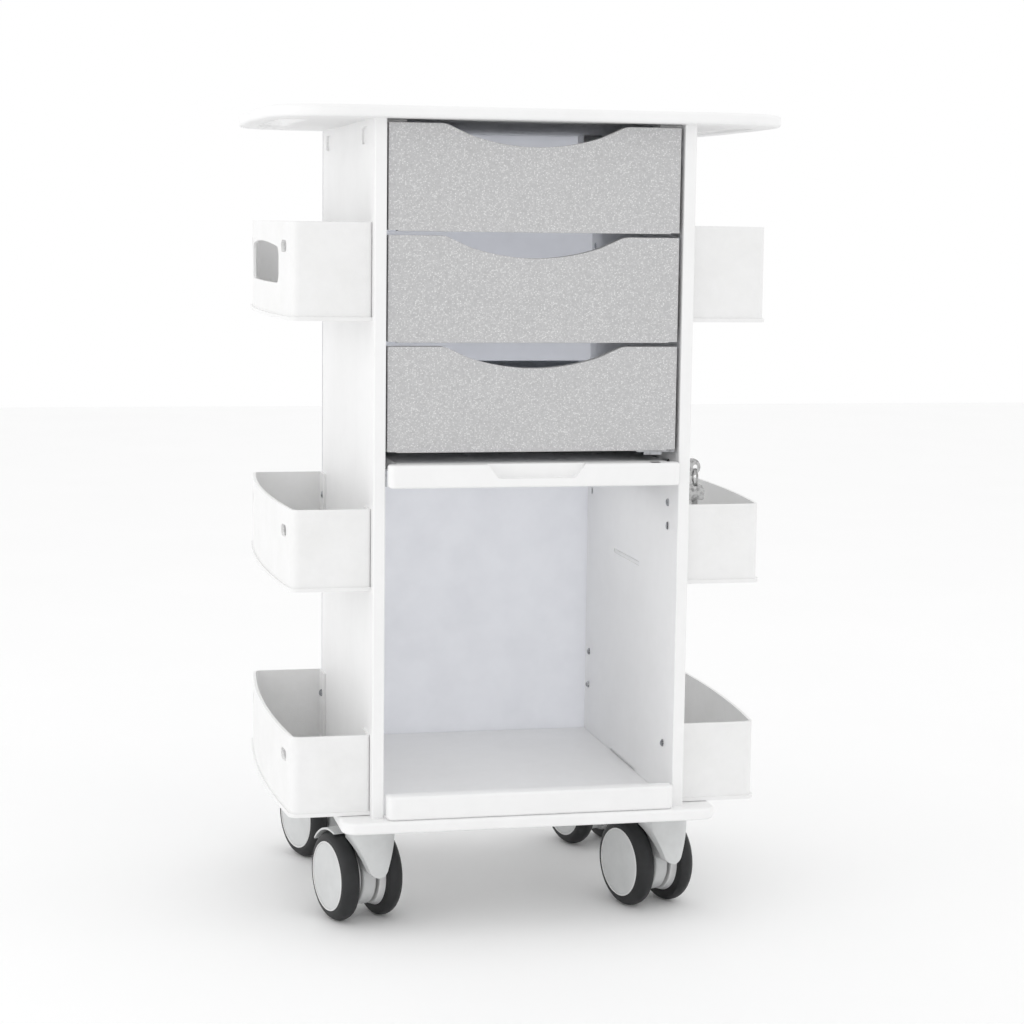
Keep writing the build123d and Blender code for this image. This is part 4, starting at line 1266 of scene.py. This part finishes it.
@dataclass
class Fasteners:
    """Cross-head screws and dome nuts of the bins, and the screws that hold the drawer rails."""

    head_radius: float = 4.2 * MM
    head_height: float = 2.0 * MM
    nut_radius: float = 4.3 * MM
    nut_height: float = 3.0 * MM
    washer_thick: float = 0.5 * MM
    recess_width: float = 1.1 * MM
    recess_length: float = 5.2 * MM
    rail_metal: float = 1.5 * MM
    rail_screw_shares: tuple[float, ...] = (0.08, 0.5, 0.92)
    turn_between: float = 37.0
    drawers: int = 3

    def head_shape(self) -> bpy.types.Object:
        """A domed head on the plane z = 0 with a cross recess.

        Returns:
            A shape to copy.
        """
        low = self.head_height * 0.35
        rise = self.head_height - low
        dome = [
            (low + rise * math.cos(math.radians(turn)), self.head_radius * math.sin(math.radians(turn)))
            for turn in range(90, -1, -15)
        ]
        profile = [(0.0, 0.0), (0.0, self.head_radius), *dome]
        head = lathe("screw_head", profile, ORIGIN, UP, 28)
        across, along = self.recess_width, self.recess_length
        for number, size in enumerate(((across, along), (along, across))):
            slot_mesh = bpy.data.meshes.new(f"recess_{number}")
            form = bmesh.new()
            bmesh.ops.create_cube(form, size=1.0)
            depth = self.head_height * 1.3
            top = self.head_height * 1.1
            for vert in form.verts:
                taper = 1.0 if vert.co.z > 0 else 0.45
                vert.co.x *= size[0] * (taper if size[0] > size[1] else 1.0)
                vert.co.y *= size[1] * (taper if size[1] > size[0] else 1.0)
                vert.co.z = top + (vert.co.z - 0.5) * depth
            form.to_mesh(slot_mesh)
            form.free()
            cutter = new_object(f"recess_{number}", slot_mesh)
            cut = head.modifiers.new("recess", "BOOLEAN")
            cut.operation = "DIFFERENCE"
            cut.object = cutter
            settle(head)
            bpy.data.objects.remove(cutter)
        head.data.set_sharp_from_angle(angle=math.radians(35))
        return head

    def nut_shape(self) -> bpy.types.Object:
        """A washer with a six-sided nut and its domed end, on the plane z = 0.

        Returns:
            A shape to copy.
        """
        thick = self.washer_thick
        washer = [(0.0, 0.0), (0.0, self.nut_radius), (thick, self.nut_radius), (thick, 0.0)]
        nut = lathe("dome_nut", washer, ORIGIN, UP, 30)
        form = bmesh.new()
        form.from_mesh(nut.data)
        corner_radius = self.nut_radius * 0.9
        sides = self.nut_height - 1.2 * MM
        body = bmesh.ops.create_cone(
            form, cap_ends=True, segments=6, radius1=corner_radius, radius2=corner_radius, depth=sides
        )
        bmesh.ops.translate(form, verts=body["verts"], vec=(0, 0, thick + sides / 2))
        cap = bmesh.ops.create_uvsphere(form, u_segments=18, v_segments=10, radius=corner_radius * 0.72)
        bmesh.ops.translate(form, verts=cap["verts"], vec=(0, 0, self.nut_height - 1.5 * MM))
        form.to_mesh(nut.data)
        form.free()
        nut.data.set_sharp_from_angle(angle=math.radians(35))
        return nut

    def screw_centres(self) -> list[tuple[Vector, Vector]]:
        """Finds each solid of the CAD screws.

        Returns:
            The lowest and highest corner of each screw.
        """
        form = bmesh.new()
        form.from_mesh(frame["nodes"]["panel_screws"].data)
        bmesh.ops.remove_doubles(form, verts=form.verts, dist=WELD)
        corners = []
        unseen = set(form.verts)
        while unseen:
            stack = [unseen.pop()]
            group = []
            while stack:
                vert = stack.pop()
                group.append(vert.co.copy())
                for edge in vert.link_edges:
                    other = edge.other_vert(vert)
                    if other in unseen:
                        unseen.remove(other)
                        stack.append(other)
            low = Vector([min(point[axis] for point in group) for axis in range(3)])
            high = Vector([max(point[axis] for point in group) for axis in range(3)])
            corners.append((low, high))
        form.free()
        return sorted(corners, key=lambda pair: tuple(pair[0]))

    def build(self, materials: dict[Slot, bpy.types.Material]) -> None:
        """Places every fastener.

        Args:
            materials: The material of each slot.
        """
        tree = fastener_tree()
        head = self.head_shape()
        nut = self.nut_shape()
        heads = FastenerSet("bin_screw_heads", "cabinet")
        nuts = FastenerSet("bin_dome_nuts", "cabinet")
        corners = self.screw_centres()
        longest = max(high.x - low.x for low, high in corners)
        for number, (low, high) in enumerate(corners):
            side = 1.0 if low.x > 0 else -1.0
            middle = (low + high) / 2
            inner = (low.x if side > 0 else high.x) + side * self.head_height
            outer = (high.x if side > 0 else low.x) - side * self.nut_height
            spin = math.radians(self.turn_between * number)
            heads.add(Vector((inner, middle.y, middle.z)), (0.0, math.radians(-90.0 * side), spin))
            if high.x - low.x > longest * 0.9:
                nuts.add(Vector((outer, middle.y, middle.z)), (0.0, math.radians(90.0 * side), spin))
        shown = heads.build(tree, head, materials[Slot.ZINC])
        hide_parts("panel_screws")
        nuts.build(tree, nut, materials[Slot.ZINC])
        for index in range(1, self.drawers + 1):
            self.rail_screws(index, tree, head, materials[Slot.ZINC])
        bpy.data.objects.remove(head)
        bpy.data.objects.remove(nut)
        LOG.info("placed %d bin screws and %d nuts", len(heads.places), len(nuts.places))

    def rail_screws(
        self,
        index: int,
        tree: bpy.types.GeometryNodeTree,
        head: bpy.types.Object,
        material: bpy.types.Material,
    ) -> None:
        """Screws each moving rail to the side of its drawer.

        Args:
            index: Number of the drawer.
            tree: The tree from fastener_tree.
            head: The screw head.
            material: Its finish.
        """
        low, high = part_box(f"drawer_{index}_rails")
        box_low, box_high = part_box(f"drawer_{index}_box")
        screws = FastenerSet(f"drawer_{index}_rail_screws", f"drawer_{index}")
        for side, wall in ((-1.0, box_low.x), (1.0, box_high.x)):
            for share in self.rail_screw_shares:
                along = low.y + (high.y - low.y) * share
                place = Vector((wall + side * self.rail_metal, along, (low.z + high.z) / 2))
                screws.add(place, (0.0, math.radians(90.0 * side), share * 3.0))
        screws.build(tree, head, material)


@dataclass
class LockSet:
    """Cam lock, its key, the split ring and the spare key."""

    turns: float = 2.1
    wire_radius: float = 0.62 * MM

    def build(self, materials: dict[Slot, bpy.types.Material]) -> None:
        """Rounds the keys' edges and coils the ring.

        Args:
            materials: The material of each slot.
        """
        turned = {"lock_barrel": Slot.NICKEL, "lock_plug": Slot.NICKEL}
        keys = {"lock_key": Slot.NICKEL, "spare_key": Slot.NICKEL}
        pressed = {"lock_cam": Slot.ZINC, "lock_strike": Slot.ZINC}
        RoundedCopies(0.35 * MM, 2, turned).build(materials)
        RoundedCopies(0.25 * MM, 2, keys).build(materials)
        RoundedCopies(0.3 * MM, 2, pressed).build(materials)
        dress(frame["nodes"]["lock_cam_screw"], materials[Slot.ZINC])
        low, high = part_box("key_ring")
        middle = (low + high) / 2
        mean_radius = (high.z - low.z) / 2 - (high.x - low.x) / 2
        height = 2.0 * self.wire_radius * (self.turns - 0.1)
        ring = new_object("split_ring", bpy.data.meshes.new("split_ring"))
        values = {
            "Turns": self.turns,
            "Ring Radius": mean_radius,
            "Coil Height": height,
            "Wire Radius": self.wire_radius,
            "Centre": middle - Vector((height / 2, 0, 0)),
            "Finish": materials[Slot.NICKEL],
        }
        run_tree(ring, ring_tree(), values)
        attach(ring, "ring")
        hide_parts("key_ring")
        LOG.info("coiled %s, %d faces", ring.name, len(ring.data.polygons))


@dataclass
class Drawers:
    """Three drawers: flecked fronts, plastic boxes and zinc rails."""

    count: int = 3

    def build(self, materials: dict[Slot, bpy.types.Material]) -> None:
        """Dresses the fronts and rails and rounds the boxes.

        Args:
            materials: The material of each slot.
        """
        for index in range(1, self.count + 1):
            dress(frame["nodes"][f"drawer_{index}_front"], materials[Slot.FRONT])
            dress(frame["nodes"][f"drawer_{index}_rails"], materials[Slot.ZINC])
            LOG.info("dressed drawer %d", index)
        boxes = {f"drawer_{index}_box": Slot.BOX for index in range(1, self.count + 1)}
        RoundedCopies(0.8 * MM, 2, boxes).build(materials)
        dress(frame["nodes"]["cabinet_rails"], materials[Slot.ZINC])
        dress(frame["nodes"]["shelf_rails"], materials[Slot.ZINC])


@dataclass
class SideBins:
    """Six open bins, three on each side panel."""

    sides: tuple[str, ...] = ("left", "right")
    levels: tuple[str, ...] = ("top", "middle", "bottom")
    rim: float = 0.8 * MM

    def build(self, materials: dict[Slot, bpy.types.Material]) -> None:
        """Rounds the rims of the bins and dresses them.

        Args:
            materials: The material of each slot.
        """
        nodes = {f"bin_{side}_{level}": Slot.BIN for side in self.sides for level in self.levels}
        RoundedCopies(self.rim, 3, nodes).build(materials)


# ---------------------------------------------------------------------------------------- stage
@dataclass
class Studio:
    """Pale floor, white surroundings, three softboxes and the camera."""

    camera_place: Vector = field(default_factory=lambda: Vector((-0.5579, -2.5925, 0.7704)))
    yaw: float = 12.56
    pitch: float = 7.13
    roll: float = 0.716
    lens: float = 81.318
    surround: float = 1.0
    floor_size: float = 14.0
    gap_under_shelf: float = 12.0 * MM

    def floor(self) -> None:
        """Lays a pale floor with a trace of unevenness."""
        bpy.ops.mesh.primitive_plane_add(size=self.floor_size, location=(0, 0, 0))
        floor = bpy.context.object
        floor.name = "studio_floor"
        material = bpy.data.materials.new("pale_floor")
        material.use_nodes = True
        tree = material.node_tree
        tree.nodes.clear()
        coords = tree.nodes.new("ShaderNodeTexCoord")
        coords.label = "Place on the floor"
        noise = tree.nodes.new("ShaderNodeTexNoise")
        noise.label = "Uneven paper"
        noise.inputs["Scale"].default_value = 3.0
        tone = tree.nodes.new("ShaderNodeMapRange")
        tone.label = "Pale tone"
        tone.inputs["To Min"].default_value = 0.95
        tone.inputs["To Max"].default_value = 0.97
        surface = tree.nodes.new("ShaderNodeBsdfPrincipled")
        surface.label = "Paper"
        surface.inputs["Roughness"].default_value = 0.8
        surface.inputs["Specular IOR Level"].default_value = 0.1
        output = tree.nodes.new("ShaderNodeOutputMaterial")
        output.label = "Surface"
        tree.links.new(coords.outputs["Object"], noise.inputs["Vector"])
        tree.links.new(noise.outputs["Fac"], tone.inputs["Value"])
        tree.links.new(tone.outputs["Result"], surface.inputs["Base Color"])
        tree.links.new(surface.outputs["BSDF"], output.inputs["Surface"])
        for column, node in enumerate((coords, noise, tone, surface, output)):
            node.location = (column * 220.0, 0.0)
        dress(floor, material)

    def surroundings(self) -> None:
        """Surrounds the scene with white."""
        world = bpy.data.worlds.new("white_studio")
        world.use_nodes = True
        background = world.node_tree.nodes["Background"]
        background.inputs["Color"].default_value = (1.0, 1.0, 1.0, 1.0)
        background.inputs["Strength"].default_value = self.surround
        bpy.context.scene.world = world

    def softbox(self, name: str, place: Vector, aim: Vector, size: float, power: float) -> None:
        """Hangs one square soft light.

        Args:
            name: The light's name.
            place: Where it hangs.
            aim: The point that it faces.
            size: Its side in metres.
            power: Its power in watts.
        """
        light = bpy.data.lights.new(name, "AREA")
        light.shape = "SQUARE"
        light.size = size
        light.energy = power
        lamp = bpy.data.objects.new(name, light)
        lamp.location = place
        lamp.rotation_euler = (aim - place).to_track_quat("-Z", "Y").to_euler()
        lamp.visible_camera = False
        bpy.context.scene.collection.objects.link(lamp)

    def camera(self) -> None:
        """Sets up the camera from its place, yaw, pitch and roll."""
        yaw, pitch, roll = (math.radians(angle) for angle in (self.yaw, self.pitch, self.roll))
        level = math.cos(pitch)
        ahead = Vector((math.sin(yaw) * level, math.cos(yaw) * level, -math.sin(pitch)))
        right = Vector((math.cos(yaw), -math.sin(yaw), 0.0))
        up = right.cross(ahead)
        rolled_right = right * math.cos(roll) + up * math.sin(roll)
        rolled_up = up * math.cos(roll) - right * math.sin(roll)
        data = bpy.data.cameras.new("camera")
        data.lens = self.lens
        data.sensor_width = 36.0
        data.clip_end = 100.0
        camera = bpy.data.objects.new("camera", data)
        axes = Matrix((rolled_right, rolled_up, -ahead)).transposed().to_4x4()
        camera.matrix_world = Matrix.Translation(self.camera_place) @ axes
        bpy.context.scene.collection.objects.link(camera)
        bpy.context.scene.camera = camera

    def build(self) -> None:
        """Builds the whole stage."""
        self.floor()
        self.surroundings()
        left = Vector((-2.6, -0.5, 0.9))
        right = Vector((1.8, -0.6, 2.6))
        self.softbox("left_light", left, aim=Vector((-0.2, 0, 0.5)), size=1.8, power=9.0)
        self.softbox("right_light", right, aim=Vector((0.2, 0, 0.5)), size=1.8, power=4.0)
        shelf_low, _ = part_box("pull_out_shelf")
        inside = Vector((0, -0.02, shelf_low.z - self.gap_under_shelf))
        below = inside + Vector((0.0, 0.1, -1.0))
        self.softbox("compartment_light", inside, aim=below, size=0.26, power=0.13)
        self.camera()
        bpy.context.scene.view_settings.view_transform = "Standard"
        LOG.info("stage ready")


def main() -> None:
    """Builds the trolley's sub-assemblies in order, then the stage."""
    logging.basicConfig(level=logging.INFO, format="%(name)s: %(message)s")
    materials = build_materials()
    Carcass().build(materials)
    moulded = {"floor_tray": Slot.SHEET, "pull_out_shelf": Slot.SHEET, "worktop_cleats": Slot.SHEET}
    RoundedCopies(0.6 * MM, 2, moulded).build(materials)
    Drawers().build(materials)
    SideBins().build(materials)
    LockSet().build(materials)
    Casters().build(materials)
    Fasteners().build(materials)
    Studio().build()


if __name__ == "__main__":
    main()
